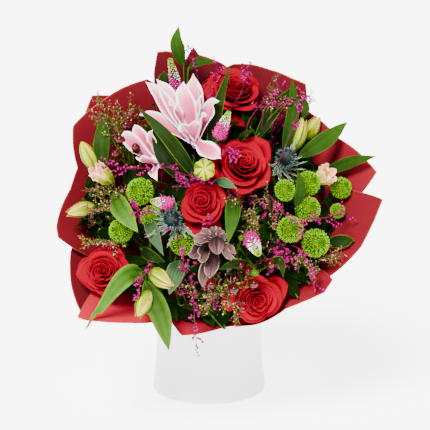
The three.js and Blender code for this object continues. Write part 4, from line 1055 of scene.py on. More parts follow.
# ---------------------------------------------------------------- round and spiny heads
@dataclass
class MumSpray:
    """A branched stem of button mums: balls of small blunt florets."""

    name: str
    join: Uvw
    heads: list[tuple[float, float, float, float]]
    florets: int = 520

    def head(self, piece: Piece, centre: Array, way: Array, radius: float, form: Skin,
             random: Draws) -> None:
        """Adds one head.

        Args:
            piece: the piece that it belongs to.
            centre: its centre.
            way: the way it faces.
            radius: its radius.
            form: the form of its florets.
            random: the spray's random draws.
        """
        _, polar, _, d = spiral(*cross_axes(way), way, self.florets, 1.86)
        young = smoothstep(polar, 0.1, 0.6)
        squash = 1 - 0.14 * np.abs(np.cos(polar))
        length = radius * (0.2 + 0.24 * young) * random.uniform(0.85, 1.15, self.florets)
        foot = centre + d * (radius * (0.5 + 0.12 * young) * squash)[:, None]
        lean = unit(d + 0.1 * random.normal(size=(self.florets, 3)) + way * 0.12)
        wide = radius * (0.055 + 0.05 * young)
        sizes = np.stack((wide, wide * 0.8, length), -1)
        piece.add(copies(form, foot, lean, sizes, random.uniform(0, TAU, self.florets),
                         random.uniform(-0.6, 0.6, self.florets) - 1.2 * (1 - young)), MUM_FLORET)
        # The ball under the florets is made darker by its tone, painted shade in the gaps between them.
        foot = centre - way * radius * 0.62
        piece.add(one(modelled_bud(14, 9, 0.5), foot, way, radius * 1.36, radius * 1.06, -1.6), MUM_FLORET)

    def build(self) -> None:
        """Makes the spray."""
        random = np.random.default_rng(len(self.name) + 7)
        form = modelled_bud(5, 5, 0.66)
        piece = Piece(self.name)
        route = stem_route(self.join)
        piece.add(tube(route, 2.3, 8), STEM_GREEN)
        for k, (u, v, w, radius) in enumerate(self.heads):
            way = face_way(u, v)
            centre = at((u, v, w))
            self.head(piece, centre, way, radius, form, random)
            joint = on_route(route, 3 + 8 * k)
            foot = centre - way * radius * 0.7
            piece.stalk([joint, joint * 0.4 + foot * 0.6 + way * -4, foot], 10, 1.2)
            for out in around(*cross_axes(way), np.array((0.0, 2.2, 4.1))):
                piece.blade([foot - way * 3, foot + out * 9 - way * 2, foot + out * 19 - way * 4], 8, way,
                            MUM_LEAF, LEAF_SHADE, -0.2)
        piece.build("mum_green")


@dataclass
class Thistle:
    """A sea holly: a blue cone of florets in a collar of jagged silvery bracts."""

    number: int
    centre: Uvw
    radius: float
    bare: Uvw
    bracts: int = 17
    florets: int = 260
    hairs: int = 90

    def bract(self, root: Array, out: Array, way: Array, reach: float, rise: float, random: Draws) -> Array:
        """A grid over one bract, whose edges run out in spines.

        Args:
            root: its foot.
            out: the way it runs out from the head.
            way: the way the head faces.
            reach: its length.
            rise: how steeply it rises.
            random: the head's random draws.

        Returns:
            The grid.
        """
        tip = root + out * reach + way * reach * rise
        aside = cross_axes(out)[0] * random.uniform(-2, 2)
        middle = root + out * reach * 0.5 + way * reach * rise * 0.2 + aside
        grid = blade([root, middle, tip], reach * 0.15, way, BRACT)
        rib = grid[:, 2:3]
        tooth = np.where(np.arange(len(grid)) % 6 == 1, 1.5, 0.85) * random.uniform(0.85, 1.15, len(grid))
        tooth = tooth[:, None, None]
        edge = np.abs(np.linspace(-1, 1, 5))[None, :, None]
        forward = unit(np.gradient(rib, axis=0)) * (edge * np.where(tooth > 1, 0.11, 0.0) * reach)
        return rib + (grid - rib) * (1 + (tooth - 1) * edge) + forward

    def build(self) -> None:
        """Makes the head, its collar and its stem."""
        random = np.random.default_rng(40 + self.number)
        way = face_way(*self.centre[:2])
        centre = at(self.centre)
        x, y = cross_axes(way)
        head = Piece(f"thistle_head_{self.number}")
        angle, polar, flat, d = spiral(x, y, way, self.florets, 1.8)
        foot = centre + self.radius * 0.8 * (flat + 1.3 * np.cos(polar)[:, None] * way)
        spikes = modelled_cone(4)
        wide = np.full(self.florets, 1.3)
        sizes = np.stack((wide, wide, random.uniform(2.6, 4.6, self.florets)), -1)
        head.add(copies(spikes, foot, unit(d + 0.35 * way), sizes, angle,
                        random.uniform(-0.5, 0.6, self.florets)), THISTLE_CORE)
        some = random.choice(self.florets, self.hairs, replace=False)
        head.add(copies(spikes, foot[some], unit(d[some] + 0.2 * random.normal(size=(self.hairs, 3))),
                        np.array([[0.5, 0.5, 5.0]]), angle[some], np.full(self.hairs, 0.5)), THISTLE_SPINE)
        tall = self.radius * 2.3
        low = centre - way * tall * 0.48
        head.add(one(modelled_bud(16, 10, 0.45), low, way, self.radius * 1.7, tall, -0.6), THISTLE_CORE)
        head.build("thistle_blue")

        stem = Piece(f"thistle_stem_{self.number}")
        seat = centre - way * self.radius * 1.4
        stem.add(tube(stem_to(seat - way * 5), 1.8, 7), STEM_GREEN)
        stem.stalk([seat - way * 8, seat - way * 3, seat], 6, (1.5, 2.2, 3.0, 3.4, 3.2, 2.4), 8,
                   THISTLE_BRACT)
        for k in range(self.bracts):
            out = around(x, y, TAU * (k + 0.4 * random.random()) / self.bracts)
            reach = 18 + 16 * random.random()
            if np.dot(out, toward(self.bare)) > 0.55:
                continue
            grid = self.bract(seat - way * 2 + out * 1.2, out, way, reach, random.uniform(0.1, 0.75), random)
            stem.add(sheet(grid, BRACT.thick, random.uniform(-0.3, 0.4)), THISTLE_BRACT)
        stem.build("thistle_grey")


@dataclass
class VeronicaSpike:
    """A tapering spike of tiny flowers: pink at the foot, cream above, green buds at the tip."""

    number: int
    base: Uvw
    tip: Uvw
    radius: float
    pink: float
    buds: int = 230

    def build(self) -> None:
        """Makes the spike and its stem."""
        random = np.random.default_rng(60 + self.number)
        root, end = at(self.base), at(self.tip)
        way = unit(end - root)
        x, y = cross_axes(way)
        piece = Piece(f"veronica_{self.number}")
        route = stem_to(root - way * 12)
        route = np.vstack((route, smooth_line([root - way * 6, root, end - way * 2], 8)))
        radii = np.concatenate((np.full(STEM_POINTS, 1.5), np.linspace(1.4, 0.5, 8)))
        piece.add(tube(route, radii, 7), STEM_GREEN)
        s = (np.arange(self.buds) + 0.5) / self.buds
        angle = np.arange(self.buds) * GOLDEN_ANGLE
        out = around(x, y, angle)
        girth = self.radius * (0.6 + 0.4 * np.sin(np.pi * np.minimum(1, 0.35 + 0.5 * s))) * (1 - 0.42 * s**2)
        foot = root + (end - root) * s[:, None] + out * (girth * 0.35)[:, None]
        lean = unit(out + way * (0.15 + 1.3 * s**2)[:, None])
        size = self.radius * (0.34 - 0.16 * s)
        height = girth * 0.95
        bud = modelled_bud(6, 5, 0.62)
        star = modelled_star(4, 0.35)
        mixed = s + 0.09 * random.normal(size=self.buds)
        low = mixed < self.pink
        kinds = ((star, SPIKE_PINK, low, size * 1.45, size * 1.45, 1, 0.4),
                 (bud, SPIKE_CREAM, ~low & (mixed < 0.8), size, height, 0, 0.12),
                 (bud, SPIKE_GREEN, ~low & (mixed >= 0.8), size, height, 0, 0.12))
        for form, finish, pick, wide, tall, stand, slack in kinds:
            where = foot + out * (stand * random.uniform(0.35, 1.0, self.buds) * girth)[:, None]
            loose = unit(lean + slack * random.normal(size=lean.shape))
            sizes = np.stack((wide, wide, tall), -1)[pick]
            piece.add(copies(form, where[pick], loose[pick], sizes, angle[pick],
                             random.uniform(-0.5, 0.5, pick.sum())), finish)
        piece.add(copies(bud, foot[low], lean[low], np.stack((size, size, height), -1)[low], angle[low],
                         random.uniform(-0.5, 0.5, low.sum())), SPIKE_PINK)
        piece.build("veronica_pink")


# ---------------------------------------------------------------- leafy stems
class LeafKind(Enum):
    """The kinds of leaf, by finish."""

    DARK = LEAF_DARK
    MID = LEAF_MID
    LIGHT = LEAF_LIGHT
    GREY = LEAF_GREY
    SHADE = LEAF_SHADE


DARK, MID, LIGHT, GREY, SHADE = LeafKind


@dataclass
class Leaf:
    """One leaf: the places that its middle rib passes, its width and its kind."""

    root: Uvw
    middle: Uvw
    tip: Uvw
    width: float
    kind: LeafKind
    shape: BladeShape

    def build(self, piece: Piece, joint: Array, phase: float) -> None:
        """Adds the leaf and its stalk to a piece."""
        root, middle, tip = at(self.root), at(self.middle), at(self.tip)
        facing = face_way((self.root[0] + self.tip[0]) / 2, (self.root[1] + self.tip[1]) / 2)
        if self.kind is not SHADE:
            facing = unit(facing + 1.5 * toward(FRONT))
        piece.stalk([joint, joint * 0.45 + root * 0.55, root, root * 0.8 + middle * 0.2], 10,
                    np.linspace(1.2, 0.8, 10))
        piece.blade([root, middle, tip], self.width, facing, self.shape, self.kind.value,
                    0.6 * math.sin(phase * 3.1), phase)


@dataclass
class BudBloom:
    """A Peruvian lily bud or half-open flower."""

    root: Uvw
    tip: Uvw
    radius: float
    open_: float = 0.0
    ribbed: bool = False

    def build(self, piece: Piece, joint: Array, phase: float) -> None:
        """Adds the bud or flower and its stalk to a piece."""
        root, tip = at(self.root), at(self.tip)
        way = unit(tip - root)
        piece.stalk([joint, joint * 0.45 + root * 0.55, root, root + way * 3], 10, 1.1)
        if self.open_ > 0:
            self.flower(piece, root, tip, phase)
        else:
            self.closed(piece, root, tip, phase)

    def flower(self, piece: Piece, root: Array, tip: Array, phase: float) -> None:
        """Adds six petals, each over a green one that cups it."""
        way, along = unit(tip - root), tip - root
        reach = self.radius * (0.7 + self.open_)
        for k, out in enumerate(spokes(*cross_axes(way), 6, phase)):
            inner = k % 2
            places = [root + out, root + along * 0.5 + out * self.radius * 0.8,
                      tip - way * 2 * inner + out * reach]
            piece.blade(places, self.radius * (1.3 if inner else 1.1), way - out, HALF_OPEN, BUD_CREAM,
                        0.4 * math.sin(2 * k + phase), phase + k)
            piece.blade([root, root + along * 0.35 + out * self.radius * 0.85,
                         root + along * 0.8 + out * self.radius * 1.05], self.radius * 1.1, out,
                        replace(BUD_SCALE, rows=12), BUD_GREEN, 0.3, phase)

    def closed(self, piece: Piece, root: Array, tip: Array, phase: float) -> None:
        """Adds a ribbed bud, with three loose scales where it isn't a young one."""
        way, along = unit(tip - root), tip - root
        x, y = cross_axes(way)
        s = np.linspace(0.02, 0.98, 16)[:, None]
        angle = np.arange(30) * TAU / 30
        girth = self.radius * np.sin(np.pi * s**0.85) ** 0.62
        ribs = 1 - 0.13 * np.abs(np.sin((3 if self.ribbed else 1.5) * (angle + 0.3 * s))) ** 6
        circles = root + along * s[..., None] + (girth * ribs)[..., None] * around(x, y, angle)
        piece.add(rings(circles, root, tip, 0.3 * math.sin(phase)), BUD_RIBBED if self.ribbed else BUD_GREEN)
        if self.ribbed:
            return
        for out in spokes(x, y, 3, phase):
            places = [root + out * 1.5, root + along * 0.5 + out * self.radius * 1.02,
                      tip + out * self.radius * 0.35 + way * 1.5]
            piece.blade(places, self.radius * 1.35, out, BUD_SCALE, BUD_GREEN, 0.3, phase)


@dataclass
class LeafyStem:
    """A stem with leaves and buds, such as a Peruvian lily or a stem of greenery."""

    name: str
    join: Uvw
    slot: str
    leaves: list[Leaf]
    buds: list[BudBloom] = field(default_factory=list)
    fillers: int = 0
    filler_reach: float = 40.0
    stem_radius: float = 2.0

    def fill(self, piece: Piece, route: Array, random: Draws) -> None:
        """Adds small dark leaves under the flowers, round the stem's end; their near-black colour is painted
        shade.
        """
        for k in range(self.fillers):
            u = self.join[0] + random.uniform(-1, 1) * self.filler_reach
            v = self.join[1] + random.uniform(-1, 1) * self.filler_reach
            shrink = min(1.0, FILL_REACH / math.hypot(u, v))
            u, v = u * shrink, v * shrink
            place = np.array((u, v, dome_height(u, v) - random.uniform(26, 52)))
            a = random.uniform(0, TAU)
            length = random.uniform(26, 44)
            lean = np.array((math.cos(a), math.sin(a), random.uniform(-0.1, 0.45)))
            middle = place + (0, 0, random.uniform(0, 6))
            leaf = Leaf(tuple(place - lean * length * 0.5), tuple(middle), tuple(place + lean * length * 0.5),
                        random.uniform(10, 17), SHADE, FILLER_LEAF)
            leaf.build(piece, on_route(route, random.uniform(2, 60)), k * 1.3)

    def build(self) -> None:
        """Makes the stem with all that grows on it."""
        random = np.random.default_rng(sum(map(ord, self.name)))
        piece = Piece(self.name)
        route = stem_route(self.join)
        piece.add(tube(route, self.stem_radius, 8), STEM_GREEN)
        for k, bud in enumerate(self.buds):
            bud.build(piece, on_route(route, 2 + 6 * k), 1.1 * k + 0.3)
        for k, leaf in enumerate(self.leaves):
            leaf.build(piece, on_route(route, 5 + 8 * k), 0.9 * k + 0.5)
        self.fill(piece, route, random)
        piece.build(self.slot)


@dataclass
class BerrySpray:
    """St John's wort: glossy berries, each on a collar of small green sepals."""

    name: str
    join: Uvw
    berries: list[tuple[float, float, float, float]]
    unripe: int = 0

    def build(self) -> None:
        """Makes the spray."""
        berry = modelled_bud(16, 12, 0.46)
        piece = Piece(self.name)
        route = stem_route(self.join)
        piece.add(tube(route, 1.9, 7), STEM_GREEN)
        for k, (u, v, w, radius) in enumerate(self.berries):
            way = unit(face_way(u, v) + 0.25 * np.array((math.sin(2.1 * k), math.cos(1.3 * k), 0.3)))
            centre = at((u, v, w))
            foot = centre - way * radius * 1.1
            skin = BERRY_GREEN if k >= len(self.berries) - self.unripe else BERRY_SKIN
            piece.add(one(berry, foot, way, 2 * radius, 2.4 * radius, 0.5 * math.sin(1.7 * k)), skin)
            joint = on_route(route, 3 + 6 * k)
            piece.stalk([joint, joint * 0.4 + foot * 0.6, foot + way], 8, 0.9)
            x, y = cross_axes(way)
            for out in spokes(x, y, 5, k):
                piece.blade([foot + out * 0.8, foot + out * radius * 0.8 + way * 0.2,
                             foot + out * radius * 1.25 + way * radius * 0.5], radius * 0.95, way - out,
                            BERRY_SEPAL, LEAF_MID)
            for out in spokes(x, y, 3, k):
                top = centre + way * radius * 1.25
                piece.stalk([top, top + way * 1.6 + out], 2, 0.25, 4, STATICE_TWIG)
        piece.build("berry_red")


# A twig's points, the length of it that bears branches, and the share of yellow buds.
TWIG_POINTS, BRANCHED_LENGTH, YELLOW_SHARE = 26, 75.0, 0.22


class TwigKind(Enum):
    """The two kinds of fine spray."""

    STATICE = "statice"
    WAXFLOWER = "waxflower"


@dataclass
class TwigSpray:
    """A spray of fine twigs that branch and bear many tiny florets or buds."""

    name: str
    join: Uvw
    twigs: list[list[Uvw]]
    kind: TwigKind
    spread: float = 13.0
    branches: int = 13
    scattered: int = 6
    scatter_reach: float = 36.0

    def side_branch(self, start: Array, way: Array, random: Draws) -> Array:
        """Points of one side branch that leaves a twig at a slant."""
        length = self.spread * random.uniform(0.6, 1.2)
        out = unit(unit(random.normal(size=3)) + 0.9 * way)
        bend = start + out * length * 0.5
        return smooth_line([start, bend, bend + unit(out + 0.5 * way) * length * 0.5], 6)

    def more_twigs(self, random: Draws) -> list[list[Uvw]]:
        """Twigs that end between the blooms, near those that are listed."""
        found: list[list[Uvw]] = []
        for _ in range(200):
            if len(found) == self.scattered:
                break
            shift = random.uniform(-1, 1, 3) * self.scatter_reach
            u, v, _ = shift + self.twigs[random.integers(len(self.twigs))][-1]
            if math.hypot(u, v) > TWIG_REACH or not clear_of_blooms(u, v):
                continue
            top = dome_height(u, v) + random.uniform(-14, 6)
            u0, v0, w0 = self.join
            middle = (u0 + 0.6 * (u - u0), v0 + 0.6 * (v - v0), 0.35 * w0 + 0.65 * top - 8)
            found.append([middle, (u, v, top)])
        return found

    def build(self) -> None:
        """Makes the spray: its twigs, their side branches, and what grows along these."""
        random = np.random.default_rng(sum(map(ord, self.name)) + 3)
        statice = self.kind is TwigKind.STATICE
        bark = STATICE_TWIG if statice else WAX_TWIG
        piece = Piece(self.name)
        route = stem_route(self.join)
        piece.add(tube(route, 1.4, 6), bark)
        feet, ways, needle_ways = [], [], []
        for k, places in enumerate([*self.twigs, *self.more_twigs(random)]):
            line = smooth_line([on_route(route, 4 + 5 * k), *[at(place) for place in places]], TWIG_POINTS)
            piece.add(tube(line, np.linspace(0.8, 0.35, TWIG_POINTS), 5), bark)
            length = np.linalg.norm(np.diff(line, axis=0), axis=1).sum()
            begin = max(0.3, 1 - BRANCHED_LENGTH / length)
            for j in range(self.branches):
                share = begin + (1 - begin) * (j + random.uniform(0.2, 0.8)) / self.branches
                t = (TWIG_POINTS - 1) * share
                i = min(TWIG_POINTS - 2, int(t))
                step = line[i + 1] - line[i]
                branch = self.side_branch(line[i] + step * (t - i), unit(step), random)
                piece.add(tube(branch, np.linspace(0.4, 0.22, 6), 4), bark)
                for foot, way in zip(branch[1:], unit(np.diff(branch, axis=0))):
                    feet.append((foot + random.normal(size=3) * 0.5, foot))
                    ways.append(unit(way + 0.8 * unit(random.normal(size=3))))
                    if not statice:
                        needle_ways.append(unit(way * 0.7 + unit(random.normal(size=3))))
        feet, needle_feet = np.array(feet).transpose(1, 0, 2)
        grow = self.statice_florets if statice else self.wax_buds
        grow(piece, feet, np.array(ways), random)
        if needle_ways:
            count = len(needle_ways)
            sizes = np.stack((np.full(count, 0.9), np.full(count, 0.45), random.uniform(3.5, 7, count)), -1)
            piece.add(copies(modelled_bud(4, 5, 0.4), needle_feet, np.array(needle_ways), sizes,
                             random.uniform(0, TAU, count), random.uniform(-0.6, 0.6, count)), WAX_NEEDLE)
        piece.build("limonium_magenta" if statice else "waxflower_pink")

    def statice_florets(self, piece: Piece, feet: Array, ways: Array, random: Draws) -> None:
        """Adds the open florets of a spray of statice."""
        count = len(feet)
        size = random.uniform(1.0, 1.75, count)
        piece.add(copies(modelled_star(5, 0.8), feet, ways, np.stack((size, size, size * 1.9), -1),
                         random.uniform(0, TAU, count), random.uniform(-0.8, 0.8, count)), STATICE)

    def wax_buds(self, piece: Piece, feet: Array, ways: Array, random: Draws) -> None:
        """Adds the rosy buds of a spray of wax flower and the yellow ones among them."""
        count = len(feet)
        size = random.uniform(0.8, 1.6, count)
        sizes = np.stack((size, size, size * 1.7), -1)
        spins, tones = random.uniform(0, TAU, count), random.uniform(-0.8, 0.8, count)
        yellow = random.random(count) < YELLOW_SHARE
        for pick, finish in ((yellow, WAX_TIP), (~yellow, WAX_BUD)):
            piece.add(copies(modelled_bud(7, 6, 0.55), feet[pick], ways[pick], sizes[pick], spins[pick],
                             tones[pick]), finish)


# ---------------------------------------------------------------- paper, tie, vase and water
@dataclass
class PaperSheet:
    """One sheet of the wrap: its rim from left to right, the layers of its edges, and how light it is: darker
    towards the neck and on its second face, lighter towards the rim and its left side, all painted light and
    shade.
    """

    number: int
    rim: list[tuple[float, float]]
    layers: tuple[float, float]
    tone: tuple[float, float]
    painted_left_light: float = 0.0
    neck_low: float = -20.0
    pleats: int = 22
    layer_gap: float = 1.9
    thick: float = 0.4

    def point(self, angle: Array, radius: Array, out: Array) -> Array:
        """Points of the paper cone in the bouquet's frame, lifted outward."""
        rim = rim_height(np.sin(angle))
        flare, _ = paper_flare(radius)
        rise = np.arctan2(rim * CONE_RISE, CONE_RUN)
        lifted = radius + np.sin(rise) * out
        height = rim * flare - np.cos(rise) * out
        return np.stack((lifted * np.cos(angle), lifted * np.sin(angle), height), -1)

    def folds(self, angle: Array, share: Array) -> Array:
        """How far the paper stands out: pleats at the neck, soft waves and a few sharp creases above."""
        pleats = 1.3 * np.exp(-((share - 0.06) / 0.10) ** 2) * np.sin(self.pleats * angle)
        waves = share**1.6 * (1.8 * np.sin(5 * angle + 0.6) + 1.1 * np.sin(11 * angle + 2.0))
        crease = share**1.2 * 1.5 * (np.abs(((angle * 4.3 + 0.7 * share) / np.pi) % 2 - 1) - 0.5)
        return pleats + waves + crease

    def stations(self) -> Array:
        """Angles along the rim, in degrees: its corners and steps of at most 1.6 between them."""
        angles = [angle for angle, _ in self.rim]
        found = [angles[0]]
        for a, b in zip(angles, angles[1:]):
            steps = max(1, math.ceil((b - a) / 1.6))
            found += [a + (b - a) * (i + 1) / steps for i in range(steps)]
        return np.array(found)

    def grid(self, degrees: Array, share: Array) -> Array:
        """Points of the sheet.

        Args:
            degrees: the angle of each column.
            share: how far up each row lies: -1 at the collar's lower edge, 0 at the tie, 1 at the rim.

        Returns:
            The grid, whose collar turns into the cone a little above the tie.
        """
        up = np.maximum(share, 0)
        rim = np.interp(degrees, *zip(*self.rim))
        across = smoothstep((degrees - degrees[0]) / (degrees[-1] - degrees[0]), 0.35, 0.62)
        layer = self.layers[0] + (self.layers[1] - self.layers[0]) * across - 0.5
        angle = np.radians(degrees) + 0 * share
        radius = PAPER_NECK + (rim - PAPER_NECK) * up
        out = 2 * self.layer_gap * layer * (0.5 + 0.5 * up) + self.folds(angle, up)
        cone = at(self.point(angle, radius, out))
        reach = PAPER_NECK + self.layer_gap * layer + 0.4 * np.sin(self.pleats * angle)
        height = np.where(share < 0, -self.neck_low * share, 0.0) + 0 * angle
        collar = at(np.stack((reach * np.cos(angle), reach * np.sin(angle), height), -1))
        blend = smoothstep(share, 0.0, 0.12)[..., None]
        return collar * (1 - blend) + cone * blend

    def build(self) -> None:
        """Makes the sheet: its faces in one finish, made lighter and darker as painted light and shade, and
        the cut edge of its rim in a paler one, a painted highlight.
        """
        degrees = self.stations()
        rows = (np.linspace(-1, 0, 5), 0.993 * np.linspace(0, 1, 30)[1:] ** 1.1, [1.0])
        share = np.concatenate(rows)[:, None]
        skin = sheet(self.grid(degrees, share), self.thick, tucked=False)
        up = np.maximum(share, 0)
        to_left = 0.5 - (degrees - degrees[0]) / (degrees[-1] - degrees[0])
        low, high = self.tone
        # Painted light and shade: darker down in the cone towards the neck, lighter up at the rim, and
        # lighter towards the left.
        light = low + (high - low) * smoothstep(up, 0.25, 1.0) + self.painted_left_light * up * to_left
        # The second face of each sheet is made darker as painted shade.
        skin.tone = np.concatenate((light.ravel(), np.full(light.size, -0.35)))
        cells = len(degrees) - 1
        faces = (len(share) - 1) * cells
        cut = np.arange(len(skin.quads)) >= 2 * faces
        for end in (faces, 2 * faces):
            cut[end - cells : end] = True
        piece = Piece(f"wrap_{self.number}")
        piece.add(Skin(skin.points, skin.quads[~cut], no_faces(3), skin.uv, skin.tone), PAPER_DEEP)
        piece.add(Skin(skin.points, skin.quads[cut], no_faces(3), skin.uv, skin.tone * 0.3), PAPER_RIM_HIGHLIGHT)
        piece.build("paper_red")


@dataclass
class Vase:
    """The plain white vase, of which each ring has a radius and a height, and the water in it."""

    outside: Outline = ((65, 0), (64.2, 6), (62.4, 20), (60.6, 36), (60, 50), (59.4, 80), (59.1, 110),
                        (59, 135.2))
    lip: Outline = ((58, 136.2), (56, 136.2))
    inside: Outline = ((55, 135.2), (55.4, 100), (56, 50), (57.5, 20), (57, 5))

    def build(self) -> None:
        """Makes the vase from a ring that is extruded and resized up the outside and down the inside."""
        deselect_all()
        outline = (*self.outside, *self.lip, *self.inside)
        bpy.ops.mesh.primitive_circle_add(vertices=96, radius=outline[0][0] * MM, location=(0, 0, 0))
        obj = bpy.context.object
        obj.name = obj.data.name = "vase_body"
        bpy.ops.object.mode_set(mode="EDIT")
        bpy.ops.mesh.select_all(action="SELECT")
        for (r0, z0), (r1, z1) in zip(outline, outline[1:]):
            bpy.ops.mesh.extrude_region_move(TRANSFORM_OT_translate={"value": (0, 0, (z1 - z0) * MM)})
            bpy.ops.transform.resize(value=(r1 / r0, r1 / r0, 1), center_override=(0, 0, z1 * MM))
        bpy.ops.mesh.edge_face_add()
        bpy.ops.mesh.select_all(action="DESELECT")
        bpy.ops.object.mode_set(mode="OBJECT")
        for edge in obj.data.edges:
            edge.select = all(obj.data.vertices[i].co.z < 1e-6 for i in edge.vertices)
        bpy.ops.object.mode_set(mode="EDIT")
        bpy.ops.mesh.select_mode(type="EDGE")
        bpy.ops.mesh.edge_face_add()
        bpy.ops.mesh.select_all(action="SELECT")
        bpy.ops.mesh.normals_make_consistent(inside=False)
        bpy.ops.object.mode_set(mode="OBJECT")
        bevel = obj.modifiers.new("rounded", "BEVEL")
        bevel.width, bevel.segments = 0.9 * MM, 3
        bevel.limit_method, bevel.angle_limit = "ANGLE", math.radians(30)
        bpy.ops.object.modifier_apply(modifier=bevel.name)
        bpy.ops.object.shade_smooth_by_angle(angle=math.radians(40))
        obj.data.materials.append(GLAZE.material())
        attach(obj, "root")
        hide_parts("vase")
        log.info("vase_body: %d faces, stands for vase", len(obj.data.polygons))

        water = frame["nodes"]["water"]
        water.data.materials.clear()
        water.data.materials.append(WATER.material())
        log.info("water: the CAD node with a water finish")


@dataclass
class Tie:
    """Raffia wound round the neck of the wrap."""

    radius: float = 33.6
    low: float = -14.4
    pitch: float = 1.3
    turns: int = 5

    def build(self) -> None:
        """Makes the winding and its knot at the back."""
        piece = Piece("raffia_tie")
        angle = np.linspace(0, TAU * self.turns, 60 * self.turns)
        reach = self.radius + 0.25 * np.sin(3 * angle) + 0.2 * np.sin(angle * 1.37)
        height = self.low + self.pitch * angle / TAU
        line = at(np.stack((reach * np.cos(angle), reach * np.sin(angle), height), -1))
        piece.add(tube(line, 0.75, 6), RAFFIA)
        knot = self.radius + 1.6
        for side, length in ((-1, 17), (1, 13)):
            tail = ((0, knot, self.low + 3), (side * 5, knot + 1.5, self.low - 1),
                    (side * 8, knot + 1.5, self.low - length))
            piece.stalk(at(tail), 14, np.linspace(0.8, 0.5, 14), 6, RAFFIA)
        place = at((0, knot - 2.5, self.low + 3))
        piece.add(copies(modelled_bud(12, 8, 0.5), place[None], AXES[1:2], np.array([[5.5, 4.5, 4.5]]),
                         np.zeros(1), np.zeros(1)), RAFFIA)
        piece.build("raffia", "tie")


# ---------------------------------------------------------------- the stage
@dataclass
class Studio:
    """White floor, soft light from all round with a brighter window at the upper left, and the camera."""

    aim: tuple[float, float, float] = (0.007, -0.090, 0.228)
    elevation: float = 15.0
    distance: float = 2.0
    lens: float = 155.0
    sensor: float = 36.0
    floor_size: float = 30.0
    key: float = 14.0
    key_softness: float = 20.0
    fill: float = 12.0
    top: float = 12.0
    ambient: float = 0.25

    def build(self) -> None:
        """Makes the floor, the lights and the camera."""
        deselect_all()
        bpy.ops.mesh.primitive_plane_add(size=self.floor_size, location=(0, 0, 0))
        floor = bpy.context.object
        floor.name = "studio_floor"
        floor.data.materials.append(FLOOR.material())
        world = bpy.data.worlds.new("studio")
        world.use_nodes = True
        world.node_tree.nodes["Background"].inputs["Color"].default_value = (1, 1, 1, 1)
        world.node_tree.nodes["Background"].inputs["Strength"].default_value = self.ambient
        bpy.context.scene.world = world
        aim = np.array(self.aim)
        window = bpy.data.lights.new("key", "SUN")
        window.energy, window.angle = self.key, math.radians(self.key_softness)
        self.hang(window, (-0.6, -1.6, 2.0), aim)
        lamps = (("fill", (1.6, -1.2, 1.1), 1.2, self.fill), ("top", (0.1, 0.5, 2.1), 1.0, self.top))
        for name, place, size, power in lamps:
            lamp = bpy.data.lights.new(name, "AREA")
            lamp.size, lamp.energy = size, power
            self.hang(lamp, place, aim)
        camera_data = bpy.data.cameras.new("camera")
        camera_data.lens, camera_data.sensor_width = self.lens, self.sensor
        camera = bpy.data.objects.new("camera", camera_data)
        bpy.context.scene.collection.objects.link(camera)
        e = math.radians(self.elevation)
        self.point(camera, aim + self.distance * np.array((0, -math.cos(e), math.sin(e))), aim)
        bpy.context.scene.camera = camera

    def hang(self, lamp: bpy.types.Light, place: tuple[float, float, float], aim: Array) -> None:
        """Puts a lamp in the scene, shining at a point."""
        obj = bpy.data.objects.new(lamp.name, lamp)
        bpy.context.scene.collection.objects.link(obj)
        self.point(obj, np.array(place), aim)

    @staticmethod
    def point(obj: bpy.types.Object, place: Array, aim: Array) -> None:
        """Puts a lamp or camera at a place, looking at a point."""
        back = unit(place - aim)
        right = unit(np.cross((0, 0, 1), back))
        up = np.cross(back, right)
        rows = np.stack((right, up, back), -1)
        obj.matrix_world = Matrix([[*rows[i], place[i]] for i in range(3)] + [[0, 0, 0, 1]])


# ---------------------------------------------------------------- what the bouquet holds
# The lilies and the orchid as round places on the dome.
LILY_PLACES = [(-25, 45, 36), (5, -90, 20)]

# Each sheet's two tones, at the neck and at the rim, are painted light and shade: sheets at the back darker,
# those at the front lighter.
PAPER = [
    PaperSheet(1, [(-112, 96), (-108, 136), (-100, 161), (-81, 145), (-70, 149), (-57, 150), (-44, 170),
        (-38, 167), (-30, 120)], (0, 0), (-0.25, 0.55), 1.1),
    PaperSheet(2, [(-48, 120), (-36, 158), (-24, 176), (-15, 183), (-8, 186), (-2, 160), (5, 134), (12, 112)],
        (1, 0), (-0.55, -0.02)),
    PaperSheet(3, [(-12, 120), (-8, 140), (-3, 158), (3, 176), (8, 169), (22, 151), (35, 145), (42, 142),
        (49, 131), (56, 120)], (1, 0), (-0.25, 0.25)),
    PaperSheet(4, [(36, 122), (42, 145), (47, 156), (54, 152), (63, 149), (71, 148), (79, 145), (94, 128)],
        (1, 0), (-0.6, -0.35)),
    PaperSheet(5, [(72, 132), (84, 143), (94, 149), (96, 155), (103, 140), (106, 124)], (1, 1), (-0.6, -0.4)),
    PaperSheet(6, [(97, 130), (104, 155), (107, 158), (111, 160), (115, 146), (121, 112)], (0, 0),
        (-0.6, -0.38)),
    PaperSheet(7, [(110, 126), (118, 143), (138, 150), (155, 158), (169, 144), (180, 151), (197, 170),
        (201, 172), (206, 158), (216, 120)], (1, 0), (-0.6, -0.12)),
    PaperSheet(8, [(192, 132), (205, 158), (217, 175), (227, 187), (236, 160), (246, 120)], (2, 2),
        (-0.58, -0.3)),
    PaperSheet(9, [(217, 130), (227, 190), (229, 203), (231, 199), (241, 165), (246, 152), (253, 132),
        (262, 104)], (0.3, 1), (0.5, 2.0)),
    PaperSheet(10, [(126, 120), (134, 146), (141, 158), (148, 153), (156, 122)], (2, 2), (-0.55, -0.2)),
]

